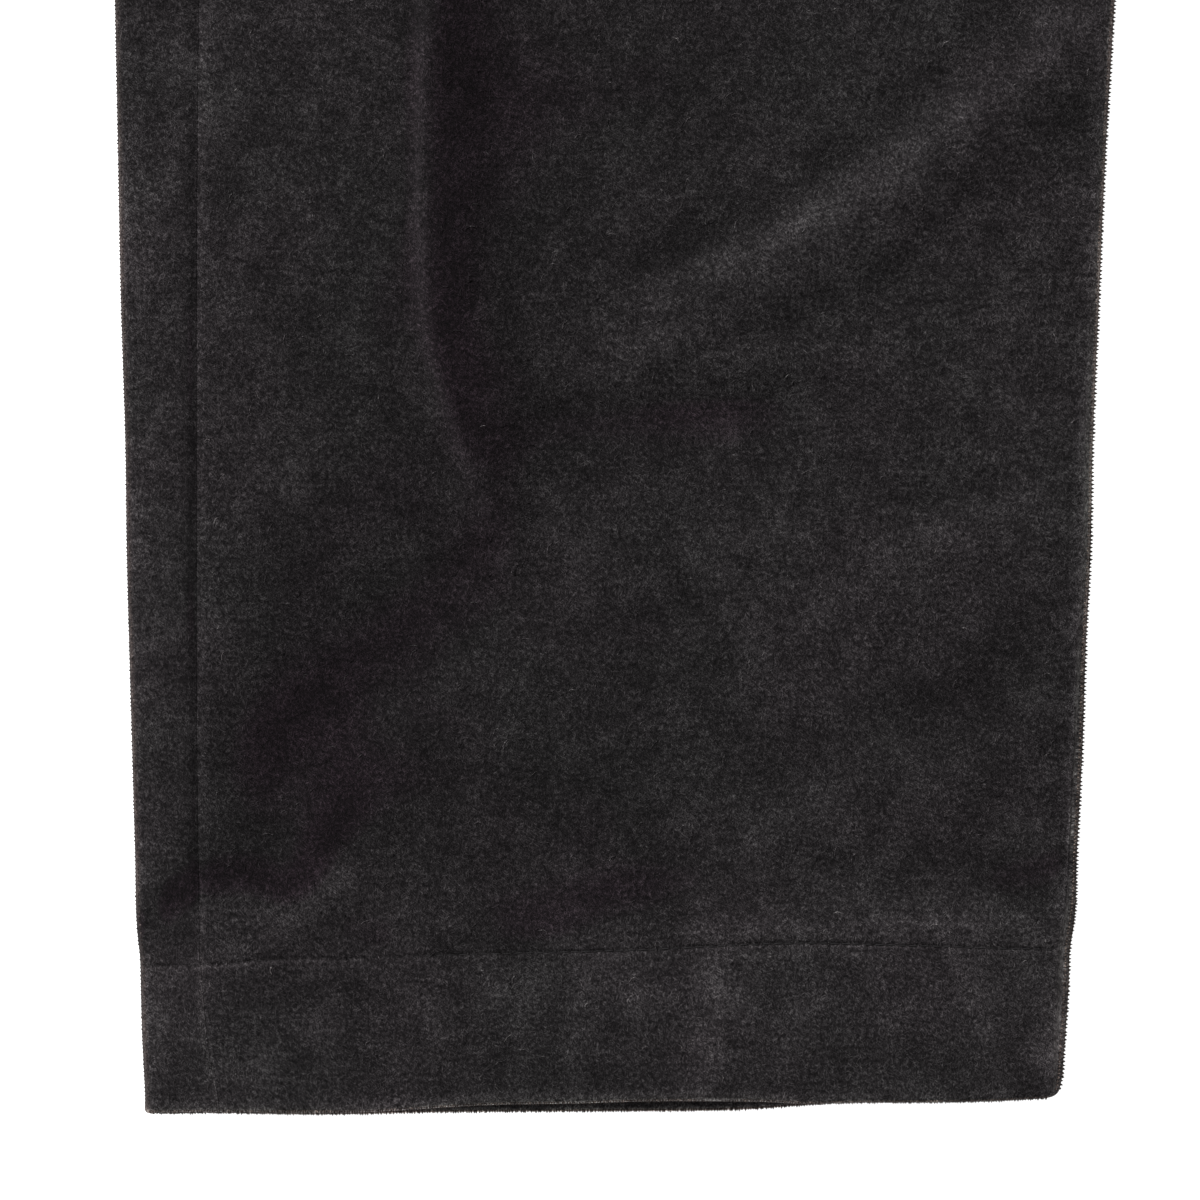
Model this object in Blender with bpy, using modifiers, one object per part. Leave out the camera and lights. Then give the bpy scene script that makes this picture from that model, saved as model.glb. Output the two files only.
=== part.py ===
"""Trousers in dark brushed cloth, laid flat on their back with the front up.

Units are metres. X runs across the garment, the wearer's left leg at +X. Y runs from the
hems to the waist. Z runs up from the surface that the trousers lie on.

Each cut piece is a wall of cloth. Its sections are worked out at a series of heights above
the hem: a leg's section is a flattened tube, its underside flat on the surface and its two
long edges rounded. The back wraps round the outer edge to the side seam, which lies forward
on the top. The front wraps round the inner edge to the inside-leg seam.
"""

import math
from collections import namedtuple

import bmesh
import bpy

MM = 0.001

# Cloth walls and the gaps between them
CLOTH = 1.6 * MM
HEM_WALL = 2.9 * MM
BAND_WALL = 2.8 * MM
SEAM_GAP = 0.3 * MM
LEG_GAP = 1.4 * MM
FOLDED_GAP = 0.5 * MM
MOST_GAP = 5.9 * MM
LEAST_GAP = 0.4 * MM

# Heights up the garment, from the hem
HEM_DEPTH = 36 * MM
HEM_SHAPE_FADES = 60 * MM
CROTCH = 760 * MM
CROTCH_POINT = 8 * MM
CROTCH_NARROWS = 25 * MM
WAIST_SEAM = 995 * MM
BAND_HEIGHT = 40 * MM
WAIST_CURVE_STARTS = 800 * MM
WAIST_THICKENS = 30 * MM
FRONT_DIP = 10 * MM
BACK_RISE = 18 * MM
LENGTH = WAIST_SEAM + BAND_HEIGHT + BACK_RISE

# The fly: the left front laps over the right one
FLY_BOTTOM = 845 * MM
FLY_FORMS = 20 * MM
LAP_OVER = 6 * MM
LAP_UNDER = 20 * MM
LAP_LEVEL_TO = 22 * MM
LAP_DOWN_BY = 34 * MM

# The button on the waistband
BUTTON_RADIUS = 8.5 * MM
BUTTON_THICKNESS = 3.2 * MM
BUTTON_WELL_RADIUS = 5.6 * MM
BUTTON_WELL_DEPTH = 0.9 * MM
BUTTON_ROUNDING = 0.8 * MM
BUTTON_HOLE_RADIUS = 0.95 * MM
BUTTON_HOLE_SPACING = 3.4 * MM
BUTTON_FROM_LAP_EDGE = 16 * MM

# How finely the walls are divided
INNER_ARC_STEPS = 4
OUTER_ARC_STEPS = 6
FRONT_STEPS = 18
STRIP_STEPS = 2
UNDERSIDE_STEPS = 3
CENTRE_STEP = 7 * MM
SHARP_ABOVE = math.radians(50)

# The outline of one leg and hip, in millimetres. height is above the hem. outer, outseam and
# inner are distances from the centre line: the outer edge, the side seam on the top, and the
# inner edge. inseam is how far the inside-leg seam lies round that edge: above 0 it is on the
# top, below 0 on the underside.
Outline = namedtuple("Outline", "height outer outseam inner inseam")
OUTLINE = (
    Outline(0, 289.1, 270.2, 70.8, 4.0),
    Outline(6, 288.5, 271.0, 68.2, 4.0),
    Outline(18, 288.9, 273.2, 67.3, 4.0),
    Outline(38, 289.5, 274.9, 66.2, 3.8),
    Outline(63, 290.7, 275.4, 64.6, 3.4),
    Outline(88, 291.4, 275.7, 63.3, 2.8),
    Outline(136, 292.7, 275.8, 61.3, 1.0),
    Outline(196, 294.1, 275.8, 59.3, -0.8),
    Outline(267, 295.5, 275.3, 55.6, -2.0),
    Outline(340, 297.0, 275.5, 52.0, -3.0),
    Outline(420, 298.6, 276.5, 47.0, -3.4),
    Outline(500, 299.8, 277.5, 41.5, -3.4),
    Outline(580, 300.4, 278.0, 33.5, -3.4),
    Outline(650, 300.2, 278.0, 23.0, -3.2),
    Outline(700, 299.2, 277.2, 13.0, -2.6),
    Outline(735, 297.8, 276.0, 4.5, -1.6),
    Outline(760, 296.2, 274.6, 0.15, 0.0),
    Outline(800, 291.5, 270.5, 0.15, 0.0),
    Outline(850, 281.5, 261.0, 0.15, 0.0),
    Outline(900, 267.5, 247.5, 0.15, 0.0),
    Outline(950, 249.5, 230.0, 0.15, 0.0),
    Outline(995, 230.0, 211.0, 0.15, 0.0),
    Outline(1035, 213.5, 195.0, 0.15, 0.0),
)

# How far the lower edges stand above the garment's lowest line, in millimetres, on the back and
# on the front. share runs from 0 at a leg's outer edge to 1 at its inner edge.
HemRun = namedtuple("HemRun", "share back front")
HEM_RUN = (
    HemRun(0.00, 0.0, 0.6),
    HemRun(0.24, 0.0, 1.2),
    HemRun(0.37, 0.6, 2.6),
    HemRun(0.55, 0.9, 3.3),
    HemRun(0.67, 1.4, 3.3),
    HemRun(0.78, 3.0, 3.2),
    HemRun(0.93, 3.6, 3.6),
    HemRun(1.00, 4.4, 4.4),
)

# Soft folds of the upper layer, in millimetres. Each path is a list of places: the distance
# from the centre line and the height above the hem. rise is how high the crest stands there,
# or how deep a trough lies. near and far are how far the sides reach to the right and to the
# left of the path, looking along it. The wearer's right leg is at -X.
Fold = namedtuple("Fold", "rise near far path")
FOLDS = (
    # right shin
    Fold(2.5, 15, 6, ((-204, 142), (-213, 168), (-219.4, 200), (-219.8, 235), (-221.5, 345), (-226, 420))),
    Fold(-1.5, 22, 13, ((-184, 160), (-211, 122), (-243, 97), (-253, 80), (-260, 60), (-272, 40))),
    Fold(2.4, 11, 8, ((-166, 193.5), (-137, 206), (-99, 230), (-63, 258.5), (-45, 273))),
    Fold(-0.7, 9, 8, ((-168, 204), (-142, 214), (-104, 241), (-70, 275))),
    Fold(0.9, 11, 9, ((-126, 118), (-98, 137), (-64, 150))),
    Fold(0.7, 11, 10, ((-152, 56), (-112, 82), (-70, 92))),
    # right knee, thigh and hip
    Fold(2.2, 12, 10, ((-72, 452), (-128, 436), (-178, 410), (-212, 386))),
    Fold(-1.2, 12, 12, ((-288, 520), (-250, 494), (-205, 462), (-170, 446))),
    Fold(2.4, 10, 15, ((-214, 700), (-228, 640), (-234, 570), (-236, 500))),
    Fold(2.0, 12, 10, ((-52, 640), (-92, 612), (-130, 580), (-158, 552))),
    Fold(2.3, 11, 10, ((-12, 744), (-60, 738), (-108, 726), (-156, 708))),
    Fold(2.1, 10, 13, ((-10, 768), (-52, 792), (-96, 822), (-136, 846))),
    Fold(-1.0, 12, 12, ((-20, 802), (-60, 830), (-100, 862))),
    Fold(1.9, 13, 10, ((-206, 910), (-228, 860), (-242, 800), (-248, 750))),
    # left shin
    Fold(2.4, 7, 13, ((204, 150), (212, 180), (216, 220), (215, 290), (210, 372))),
    Fold(-1.3, 9, 18, ((178, 132), (202, 112), (226, 98), (242, 76), (252, 52))),
    Fold(1.9, 9, 9, ((60, 246), (92, 226), (124, 200), (152, 178))),
    Fold(-0.8, 9, 9, ((66, 258), (98, 238), (128, 212))),
    Fold(0.8, 9, 10, ((92, 128), (118, 116), (148, 110))),
    Fold(1.2, 16, 12, ((84, 336), (112, 320), (146, 294))),
    # left knee, thigh and hip
    Fold(2.1, 10, 13, ((66, 412), (112, 430), (158, 448), (194, 474))),
    Fold(-1.1, 13, 13, ((280, 428), (246, 452), (206, 496))),
    Fold(2.2, 14, 10, ((238, 670), (232, 610), (216, 520))),
    Fold(1.8, 10, 13, ((60, 606), (108, 584), (170, 546))),
    Fold(2.4, 9, 11, ((12, 740), (62, 730), (144, 698))),
    Fold(2.1, 13, 10, ((10, 772), (64, 798), (130, 832))),
    Fold(-0.9, 12, 12, ((16, 806), (58, 834), (96, 860))),
    Fold(1.9, 10, 13, ((204, 904), (230, 858), (246, 792))),
)
FOLD_END = 0.2
EDGE_FADE = 14 * MM

Section = namedtuple("Section", "height outer outseam inner inseam radius round wrap wall")
# A point of a section: its distance from the centre line, its level, and the way out of the
# cloth there, also as across and up.
Spot = namedtuple("Spot", "across level out_across out_up")


def mix(a, b, share):
    return a + (b - a) * share


def eased(value, low, high):
    """0 below low, 1 above high, and a soft S between them."""
    share = min(1.0, max(0.0, (value - low) / (high - low)))
    return share * share * (3 - 2 * share)


def limited(value, low, high):
    """value, bent softly so that it stays between low, which is below 0, and high."""
    limit = high if value > 0 else -low
    return limit * math.tanh(value / limit)


def outline_at(height, column):
    """A column of the outline at this height, on a smooth curve through the rows, in metres."""
    at = height / MM
    rows = OUTLINE
    last = len(rows) - 2
    i = max(0, min(last, sum(row.height <= at for row in rows) - 1))
    values = [getattr(rows[max(0, min(last + 1, k))], column) for k in range(i - 1, i + 3)]
    places = [rows[max(0, min(last + 1, k))].height for k in range(i - 1, i + 3)]
    span = places[2] - places[1]
    slope_in = (values[2] - values[0]) / (places[2] - places[0]) * span
    slope_out = (values[3] - values[1]) / (places[3] - places[1]) * span
    t = (at - places[1]) / span
    return MM * (
        (1 + 2 * t) * (1 - t) ** 2 * values[1]
        + t * (1 - t) ** 2 * slope_in
        + t * t * (3 - 2 * t) * values[2]
        - t * t * (1 - t) * slope_out
    )


def wall_at(height):
    return HEM_WALL if height < HEM_DEPTH else CLOTH


def thickness_at(height):
    """The whole garment's thickness at its edges: two walls and the gap between them."""
    leg = 2 * CLOTH + LEG_GAP
    hem = 2 * HEM_WALL + FOLDED_GAP
    band = 2 * BAND_WALL + FOLDED_GAP
    at_hem = 1 - eased(height, HEM_DEPTH, HEM_DEPTH + 25 * MM)
    at_waist = eased(height, WAIST_SEAM - WAIST_THICKENS, WAIST_SEAM)
    return leg + (hem - leg) * at_hem + (band - leg) * at_waist


def section_at(height, wall):
    radius = thickness_at(height) / 2
    narrowed = eased(height, CROTCH - CROTCH_NARROWS, CROTCH)
    return Section(
        height=height,
        outer=outline_at(height, "outer"),
        outseam=outline_at(height, "outseam"),
        inner=max(SEAM_GAP / 2, outline_at(height, "inner")),
        inseam=outline_at(height, "inseam") / radius,
        radius=radius,
        round=mix(radius, SEAM_GAP, narrowed),
        wrap=1 - eased(height, CROTCH, CROTCH + CROTCH_POINT),
        wall=wall,
    )


def fold_height(fold, x, y):
    """What one fold adds at this place: a soft ridge along its path, lower at both ends."""
    steps = list(zip(fold.path, fold.path[1:]))
    lengths = [math.dist(start, end) for start, end in steps]
    nearest, beside, share, passed = math.inf, 0.0, 0.0, 0.0
    for ((x0, y0), (x1, y1)), length in zip(steps, lengths):
        along_x, along_y = (x1 - x0) / length, (y1 - y0) / length
        away_x, away_y = x / MM - x0, y / MM - y0
        along = min(length, max(0.0, away_x * along_x + away_y * along_y))
        distance = math.hypot(away_x - along * along_x, away_y - along * along_y)
        if distance < nearest:
            nearest = distance
            beside = away_x * along_y - away_y * along_x
            share = (passed + along) / sum(lengths)
        passed += length
    spread = fold.near if beside > 0 else fold.far
    ends = eased(share, -FOLD_END, FOLD_END) * (1 - eased(share, 1 - FOLD_END, 1 + FOLD_END))
    return fold.rise * MM * ends * math.exp(-((nearest / spread) ** 2))


def lift_at(side, section, across):
    """How far the upper layer stands above a leg lying quite flat."""
    height = section.height
    raised = sum(fold_height(fold, side * across, height) for fold in FOLDS)
    gap = 2 * (section.radius - section.wall)
    soft = limited(raised, min(LEAST_GAP - gap, -0.05 * MM), MOST_GAP - gap)
    from_inner = across - section.inner if section.wrap > 0 else EDGE_FADE
    near_edges = eased(min(section.outer - across, from_inner), 0, EDGE_FADE)
    return soft * near_edges * (1 - eased(height, WAIST_SEAM - 2 * WAIST_THICKENS, WAIST_SEAM))


def in_fly(height):
    """0 below the fly and 1 beside it. The cloth is lifted before its edge passes over."""
    return eased(height, FLY_BOTTOM - FLY_FORMS, FLY_BOTTOM)


def lap_lift(side, height, across, wall):
    """The left side is lifted over the right one, and comes down beyond the lap."""
    if side < 0:
        return 0.0
    beside = 1 - eased(across, LAP_LEVEL_TO, LAP_DOWN_BY)
    return (wall + SEAM_GAP) * in_fly(height) * beside


def centre_edge(side, height):
    """Where a piece ends at the centre front: past the centre where the fly laps."""
    reach = LAP_OVER if side > 0 else LAP_UNDER
    return mix(SEAM_GAP / 2, -reach, eased(height, FLY_BOTTOM, FLY_BOTTOM + FLY_FORMS))


def waist_offset(section, across, on_top):
    """The waist seam dips at the centre front and rises at the centre back."""
    share = min(1.0, abs(across) / section.outer)
    most = -FRONT_DIP if on_top else BACK_RISE
    return most * (1 - share * share) * eased(section.height, WAIST_CURVE_STARTS, WAIST_SEAM)


def hem_offset(section, across, on_top):
    """The hem rises towards the inner leg, and the front layer's edge stands back from the
    rear one's along the middle."""
    share = min(1.0, max(0.0, (section.outer - across) / (section.outer - section.inner)))
    i = min(len(HEM_RUN) - 2, sum(row.share <= share for row in HEM_RUN) - 1)
    low, high = HEM_RUN[i], HEM_RUN[i + 1]
    between = (share - low.share) / (high.share - low.share)
    offset = mix(low.front, high.front, between) if on_top else mix(low.back, high.back, between)
    return offset * MM * (1 - eased(section.height, 0, HEM_SHAPE_FADES))


def inner_arc(section, angle, centre, flat_level):
    """A spot on the rounded inner edge. Above the crotch it opens out to the flat spot."""
    out = (-math.cos(angle), math.sin(angle))
    across = section.inner + section.round * (1 - math.cos(angle))
    level = section.radius * (1 + math.sin(angle))
    flat_out = 1.0 if flat_level > 0 else -1.0
    tilt = (mix(0.0, out[0], section.wrap), mix(flat_out, out[1], section.wrap))
    size = math.hypot(*tilt)
    return Spot(
        mix(centre, across, section.wrap),
        mix(flat_level, level, section.wrap),
        tilt[0] / size,
        tilt[1] / size,
    )


def inseam_spot(section, centre, flat_level):
    """The edge of a piece at the inside-leg seam. Both edges there keep one way out, so that
    they run parallel, half the gap to either side of the seam."""
    spot = inner_arc(section, section.inseam, centre, flat_level)
    shift = (1 if flat_level > 0 else -1) * SEAM_GAP / 2 * section.wrap
    return spot._replace(
        across=spot.across + shift * spot.out_up * section.round / section.radius,
        level=spot.level - shift * spot.out_across,
    )


def front_spots(side, section):
    """A front's section, from the inside-leg seam or the centre front to the side seam."""
    top = 2 * section.radius
    edge = centre_edge(side, section.height)
    spots = [inseam_spot(section, edge, top)]
    for k in range(1, INNER_ARC_STEPS):
        angle = mix(section.inseam, math.pi / 2, k / INNER_ARC_STEPS)
        centre = edge + k * CENTRE_STEP
        spots.append(inner_arc(section, angle, centre, top))
    start = mix(edge + INNER_ARC_STEPS * CENTRE_STEP, section.inner + section.round, section.wrap)
    end = section.outseam - SEAM_GAP / 2
    spots += [Spot(mix(start, end, k / FRONT_STEPS), top, 0.0, 1.0) for k in range(FRONT_STEPS + 1)]
    return spots


def outer_arc(section):
    """The rounded outer edge, from the top to the underside."""
    centre = section.outer - section.radius
    angles = [math.pi * (0.5 - k / OUTER_ARC_STEPS) for k in range(OUTER_ARC_STEPS + 1)]
    return [
        Spot(
            centre + section.radius * math.cos(a),
            section.radius * (1 + math.sin(a)),
            math.cos(a),
            math.sin(a),
        )
        for a in angles
    ]


def back_spots(_side, section):
    """A back's section: over the outer edge and along the underside to the inside-leg seam."""
    strip_start = section.outseam + SEAM_GAP / 2
    strip_end = section.outer - section.radius
    top = 2 * section.radius
    strip = [mix(strip_start, strip_end, k / STRIP_STEPS) for k in range(STRIP_STEPS)]
    spots = [Spot(across, top, 0.0, 1.0) for across in strip] + outer_arc(section)
    centre = SEAM_GAP / 2
    end = mix(centre + INNER_ARC_STEPS * CENTRE_STEP, section.inner + section.round, section.wrap)
    for k in range(1, UNDERSIDE_STEPS):
        spots.append(Spot(mix(strip_end, end, k / UNDERSIDE_STEPS), 0.0, 0.0, -1.0))
    for k in range(INNER_ARC_STEPS):
        angle = mix(-math.pi / 2, section.inseam, k / INNER_ARC_STEPS)
        flat = centre + (INNER_ARC_STEPS - k) * CENTRE_STEP
        spots.append(inner_arc(section, angle, flat, 0.0))
    return spots + [inseam_spot(section, centre, 0.0)]


def band_spots(side, section):
    """Half the waistband's section, from the centre front round the hip to the centre back. It
    keeps to the spots of the front and the back, so that their edges match along the seam."""
    return front_spots(side, section)[:-1] + back_spots(side, section)[1:]


def placed(side, section, spot):
    """The outer and the inner point of the wall at this spot, in the garment's frame."""
    on_top = spot.level > section.radius
    across, level = spot.across, spot.level
    if spot.out_up > 0.999:
        wall = BAND_WALL if section.height > WAIST_SEAM else section.wall
        thick = mix(wall, BAND_WALL, eased(section.height, WAIST_SEAM - WAIST_THICKENS, WAIST_SEAM))
        level += lift_at(side, section, across) + lap_lift(side, section.height, across, thick)
    y = section.height + hem_offset(section, across, on_top) + waist_offset(section, across, on_top)
    inner_across = across - section.wall * spot.out_across
    inner_level = level - section.wall * spot.out_up
    return (side * across, y, level), (side * inner_across, y, inner_level)


def cloth_wall(name, side, heights, spots_of, material, wall=None):
    """A closed wall of cloth: its outer and inner skins through the sections, and its rims."""
    sections = [section_at(h, wall or wall_at(h)) for h in heights]
    rows = [[placed(side, s, spot) for spot in spots_of(side, s)] for s in sections]
    count = len(rows[0])
    shape = bmesh.new()
    skins = [
        [[shape.verts.new(pair[layer]) for pair in row] for row in rows] for layer in (0, 1)
    ]
    for layer, skin in enumerate(skins):
        for lower, upper in zip(skin, skin[1:]):
            for k in range(count - 1):
                quad = (lower[k], lower[k + 1], upper[k + 1], upper[k])
                shape.faces.new(quad if layer else quad[::-1])
    outer, inner = skins
    rim = [(outer[0][k], inner[0][k]) for k in range(count)]
    rim += [(outer[j][-1], inner[j][-1]) for j in range(1, len(rows))]
    rim += [(outer[-1][k], inner[-1][k]) for k in range(count - 2, -1, -1)]
    rim += [(outer[j][0], inner[j][0]) for j in range(len(rows) - 2, 0, -1)]
    for (a, b), (c, d) in zip(rim, rim[1:] + rim[:1]):
        shape.faces.new((a, c, d, b))
    bmesh.ops.recalc_face_normals(shape, faces=shape.faces)
    return finished(name, shape, material)


def finished(name, shape, material):
    mesh = bpy.data.meshes.new(name)
    shape.to_mesh(mesh)
    shape.free()
    mesh.materials.append(material)
    mesh.shade_smooth()
    mesh.set_sharp_from_angle(angle=SHARP_ABOVE)
    return bpy.data.objects.new(name, mesh)


def spaced(low, high, step):
    count = max(1, round((high - low) / step))
    return [mix(low, high, k / count) for k in range(count)]


def leg_heights():
    """The heights of a leg piece's sections: close where the form changes, wide elsewhere."""
    turn_up = [0.0, 6 * MM, 20 * MM, HEM_DEPTH - 0.5 * MM, HEM_DEPTH + 1 * MM]
    shin = spaced(48 * MM, 280 * MM, 17 * MM)
    knee_and_thigh = spaced(280 * MM, 690 * MM, 37 * MM)
    crotch = [690 * MM, 712 * MM, 730 * MM, 744 * MM, 753 * MM, CROTCH, CROTCH + CROTCH_POINT]
    fly = [FLY_BOTTOM - FLY_FORMS, FLY_BOTTOM - FLY_FORMS / 2, FLY_BOTTOM]
    fly += [FLY_BOTTOM + FLY_FORMS / 2, FLY_BOTTOM + FLY_FORMS]
    hip = spaced(900 * MM, WAIST_SEAM - WAIST_THICKENS, 33 * MM)
    waist = [WAIST_SEAM - WAIST_THICKENS * (1 - k / 3) for k in range(3)]
    return (
        turn_up + shin + knee_and_thigh + crotch + [795 * MM] + fly + hip + waist
        + [WAIST_SEAM - SEAM_GAP / 2]
    )


def band_heights():
    low, high = WAIST_SEAM + SEAM_GAP / 2, WAIST_SEAM + BAND_HEIGHT
    return [mix(low, high, k / 3) for k in range(4)]


def turned(name, profile, steps):
    """A profile of (radius, level) points, turned about the vertical axis."""
    mesh = bpy.data.meshes.new(name)
    edges = [(k, k + 1) for k in range(len(profile) - 1)]
    mesh.from_pydata([(r, 0.0, z) for r, z in profile], edges, [])
    blank = bpy.data.objects.new(name, mesh)
    screw = blank.modifiers.new("Turn", "SCREW")
    screw.steps = screw.render_steps = steps
    screw.use_merge_vertices = True
    screw.merge_threshold = 0.00005
    return blank


def button_profile():
    """From the middle of the top, over the rim, down and in to the middle of the underside."""
    top, radius, rounding = BUTTON_THICKNESS, BUTTON_RADIUS, BUTTON_ROUNDING
    well_level = top - BUTTON_WELL_DEPTH
    rim = [
        (radius - rounding * (1 - math.sin(a)), top - rounding * (1 - math.cos(a)))
        for a in (math.radians(step) for step in (0, 30, 60, 90))
    ]
    well = [(0.0, well_level), (BUTTON_WELL_RADIUS, well_level), (BUTTON_WELL_RADIUS + 0.6 * MM, top)]
    base = [(radius - rounding / 2, 0.4 * rounding), (radius - 2 * rounding, 0.0), (0.0, 0.0)]
    return well + rim + base


def button_hole_cutters(collection):
    """Four upright cylinders, longer than the button is thick."""
    half = BUTTON_HOLE_SPACING / 2
    cutters = []
    for k in range(4):
        shape = bmesh.new()
        bmesh.ops.create_cone(
            shape,
            cap_ends=True,
            segments=12,
            radius1=BUTTON_HOLE_RADIUS,
            radius2=BUTTON_HOLE_RADIUS,
            depth=3 * BUTTON_THICKNESS,
        )
        mesh = bpy.data.meshes.new(f"button_hole_{k}")
        shape.to_mesh(mesh)
        shape.free()
        cutter = bpy.data.objects.new(mesh.name, mesh)
        cutter.location = (half if k % 2 else -half, half if k // 2 else -half, BUTTON_THICKNESS / 2)
        cutter.hide_render = True
        cutter.display_type = "WIRE"
        collection.objects.link(cutter)
        cutters.append(cutter)
    return cutters


def sewn_button(material, cutters_in):
    """The button lies on the waistband's lap, its holes cut through."""
    button = turned("waist_button", button_profile(), 28)
    button.data.materials.append(material)
    band = section_at(WAIST_SEAM + BAND_HEIGHT / 2, BAND_WALL)
    across = BUTTON_FROM_LAP_EDGE - LAP_OVER
    seat = 2 * band.radius + lap_lift(1, band.height, across, BAND_WALL) + SEAM_GAP
    button.location = (across, band.height - FRONT_DIP, seat)
    for cutter in button_hole_cutters(cutters_in):
        cutter.parent = button
        hole = button.modifiers.new(cutter.name, "BOOLEAN")
        hole.operation = "DIFFERENCE"
        hole.object = cutter
    return button


def surface_material(name, colour, roughness):
    material = bpy.data.materials.new(name)
    material.use_nodes = True
    shader = material.node_tree.nodes["Principled BSDF"]
    shader.inputs["Base Color"].default_value = (*colour, 1.0)
    shader.inputs["Roughness"].default_value = roughness
    shader.inputs["Metallic"].default_value = 0.0
    material.diffuse_color = (*colour, 1.0)
    return material


def new_collection(name):
    made = bpy.data.collections.new(name)
    bpy.context.scene.collection.children.link(made)
    return made


def main():
    for old in list(bpy.data.objects):
        bpy.data.objects.remove(old)
    garment = new_collection("trousers")
    cutters = new_collection("cutters")
    cloth = surface_material("brushed_cloth", (0.022, 0.020, 0.021), 0.95)
    horn = surface_material("dark_button", (0.018, 0.015, 0.014), 0.35)

    origin = bpy.data.objects.new("trousers_origin", None)
    origin.location = (0.0, -LENGTH / 2, 0.0)
    garment.objects.link(origin)

    pieces = []
    for name, side in (("right", -1), ("left", 1)):
        pieces += [
            cloth_wall(f"front_{name}", side, leg_heights(), front_spots, cloth),
            cloth_wall(f"back_{name}", side, leg_heights(), back_spots, cloth),
            cloth_wall(f"waistband_{name}", side, band_heights(), band_spots, cloth, BAND_WALL),
        ]
    pieces.append(sewn_button(horn, cutters))
    for piece in pieces:
        garment.objects.link(piece)
        piece.parent = origin


main()
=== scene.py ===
# %% [markdown]
# # Trousers in dark brushed cloth, laid flat
#
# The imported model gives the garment's true sizes: two leg fronts, two leg backs, two halves of
# the waistband and a button, all in metres, with X across, Y from the hems to the waist and Z up
# from the surface. This script keeps that frame and makes what the eye sees: the cloth with its
# turned hems and soft folds, the nap, the stitches, the button and the light.

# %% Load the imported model
import math
from collections import namedtuple

import bpy
import numpy as np
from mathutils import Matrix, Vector


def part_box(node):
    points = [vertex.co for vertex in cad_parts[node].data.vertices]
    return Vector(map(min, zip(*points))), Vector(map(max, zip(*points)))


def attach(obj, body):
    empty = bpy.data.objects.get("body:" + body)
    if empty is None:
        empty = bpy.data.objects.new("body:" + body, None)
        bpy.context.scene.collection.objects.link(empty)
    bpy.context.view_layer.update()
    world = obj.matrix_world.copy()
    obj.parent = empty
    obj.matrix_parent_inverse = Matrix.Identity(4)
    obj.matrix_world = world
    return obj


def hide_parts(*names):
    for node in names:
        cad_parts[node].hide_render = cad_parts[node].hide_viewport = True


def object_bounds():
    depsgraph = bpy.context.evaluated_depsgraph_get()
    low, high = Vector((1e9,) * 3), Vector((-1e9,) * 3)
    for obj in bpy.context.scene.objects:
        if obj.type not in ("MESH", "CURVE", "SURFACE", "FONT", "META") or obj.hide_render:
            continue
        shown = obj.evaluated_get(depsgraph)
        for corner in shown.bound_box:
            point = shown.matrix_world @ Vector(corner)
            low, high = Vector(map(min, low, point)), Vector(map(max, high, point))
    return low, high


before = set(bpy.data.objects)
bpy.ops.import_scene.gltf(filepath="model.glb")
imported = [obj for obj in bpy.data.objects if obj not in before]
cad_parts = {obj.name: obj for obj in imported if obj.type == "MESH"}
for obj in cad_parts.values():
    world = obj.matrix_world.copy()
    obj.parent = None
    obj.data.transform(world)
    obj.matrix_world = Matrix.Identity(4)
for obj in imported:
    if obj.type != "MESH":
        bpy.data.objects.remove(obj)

bpy.ops.object.select_all(action="DESELECT")
cad_low, cad_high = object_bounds()
print("the solids span", [round(1000 * side, 1) for side in cad_high - cad_low], "mm")

# %% [markdown]
# ## Sizes to work from
#
# A garment is drawn from a few sizes: how long it is, how deep the hem and the waistband are,
# how thick the cloth lies. Everything below is worked out from these. They are written in
# millimetres, as a cutter would write them, and turned into metres once.

# %% Driving sizes
MM = 0.001
CLOTH = 1.35 * MM
TURNED_GAP = 0.15 * MM
SEAM_GAP = 0.12 * MM

HEM_DEPTH = 36 * MM
LEG_THICK = 4.6 * MM
HEM_THICK = 6.3 * MM
BAND_THICK = 6.1 * MM

CROTCH = 760 * MM
CROTCH_POINT = 8 * MM
CROTCH_NARROWS = 25 * MM
WAIST_SEAM = 995 * MM
BAND_HEIGHT = 40 * MM
WAIST_CURVE_STARTS = 800 * MM
WAIST_THICKENS = 30 * MM
FRONT_DIP = 10 * MM
BACK_RISE = 18 * MM

FLY_BOTTOM = 845 * MM
FLY_FORMS = 20 * MM
LAP_OVER = 6 * MM
LAP_UNDER = 20 * MM
LAP_LEVEL_TO = 22 * MM
LAP_DOWN_BY = 34 * MM
LAP_LIFT = 1.9 * MM

HEM_LEVEL = cad_low.y
turn_radius = CLOTH + TURNED_GAP / 2
print("the hems lie at y", round(HEM_LEVEL, 4), "and a turned edge is", 2 * turn_radius / MM, "mm thick")

# %% [markdown]
# ## The outline of a leg
#
# A leg that lies flat has an outer and an inner edge, and two seams that run beside them. Both
# could be drawn as curves, but a table of heights with a smooth curve through it is easier to
# correct: each row is a place where a tape could be laid across the leg.

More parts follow.
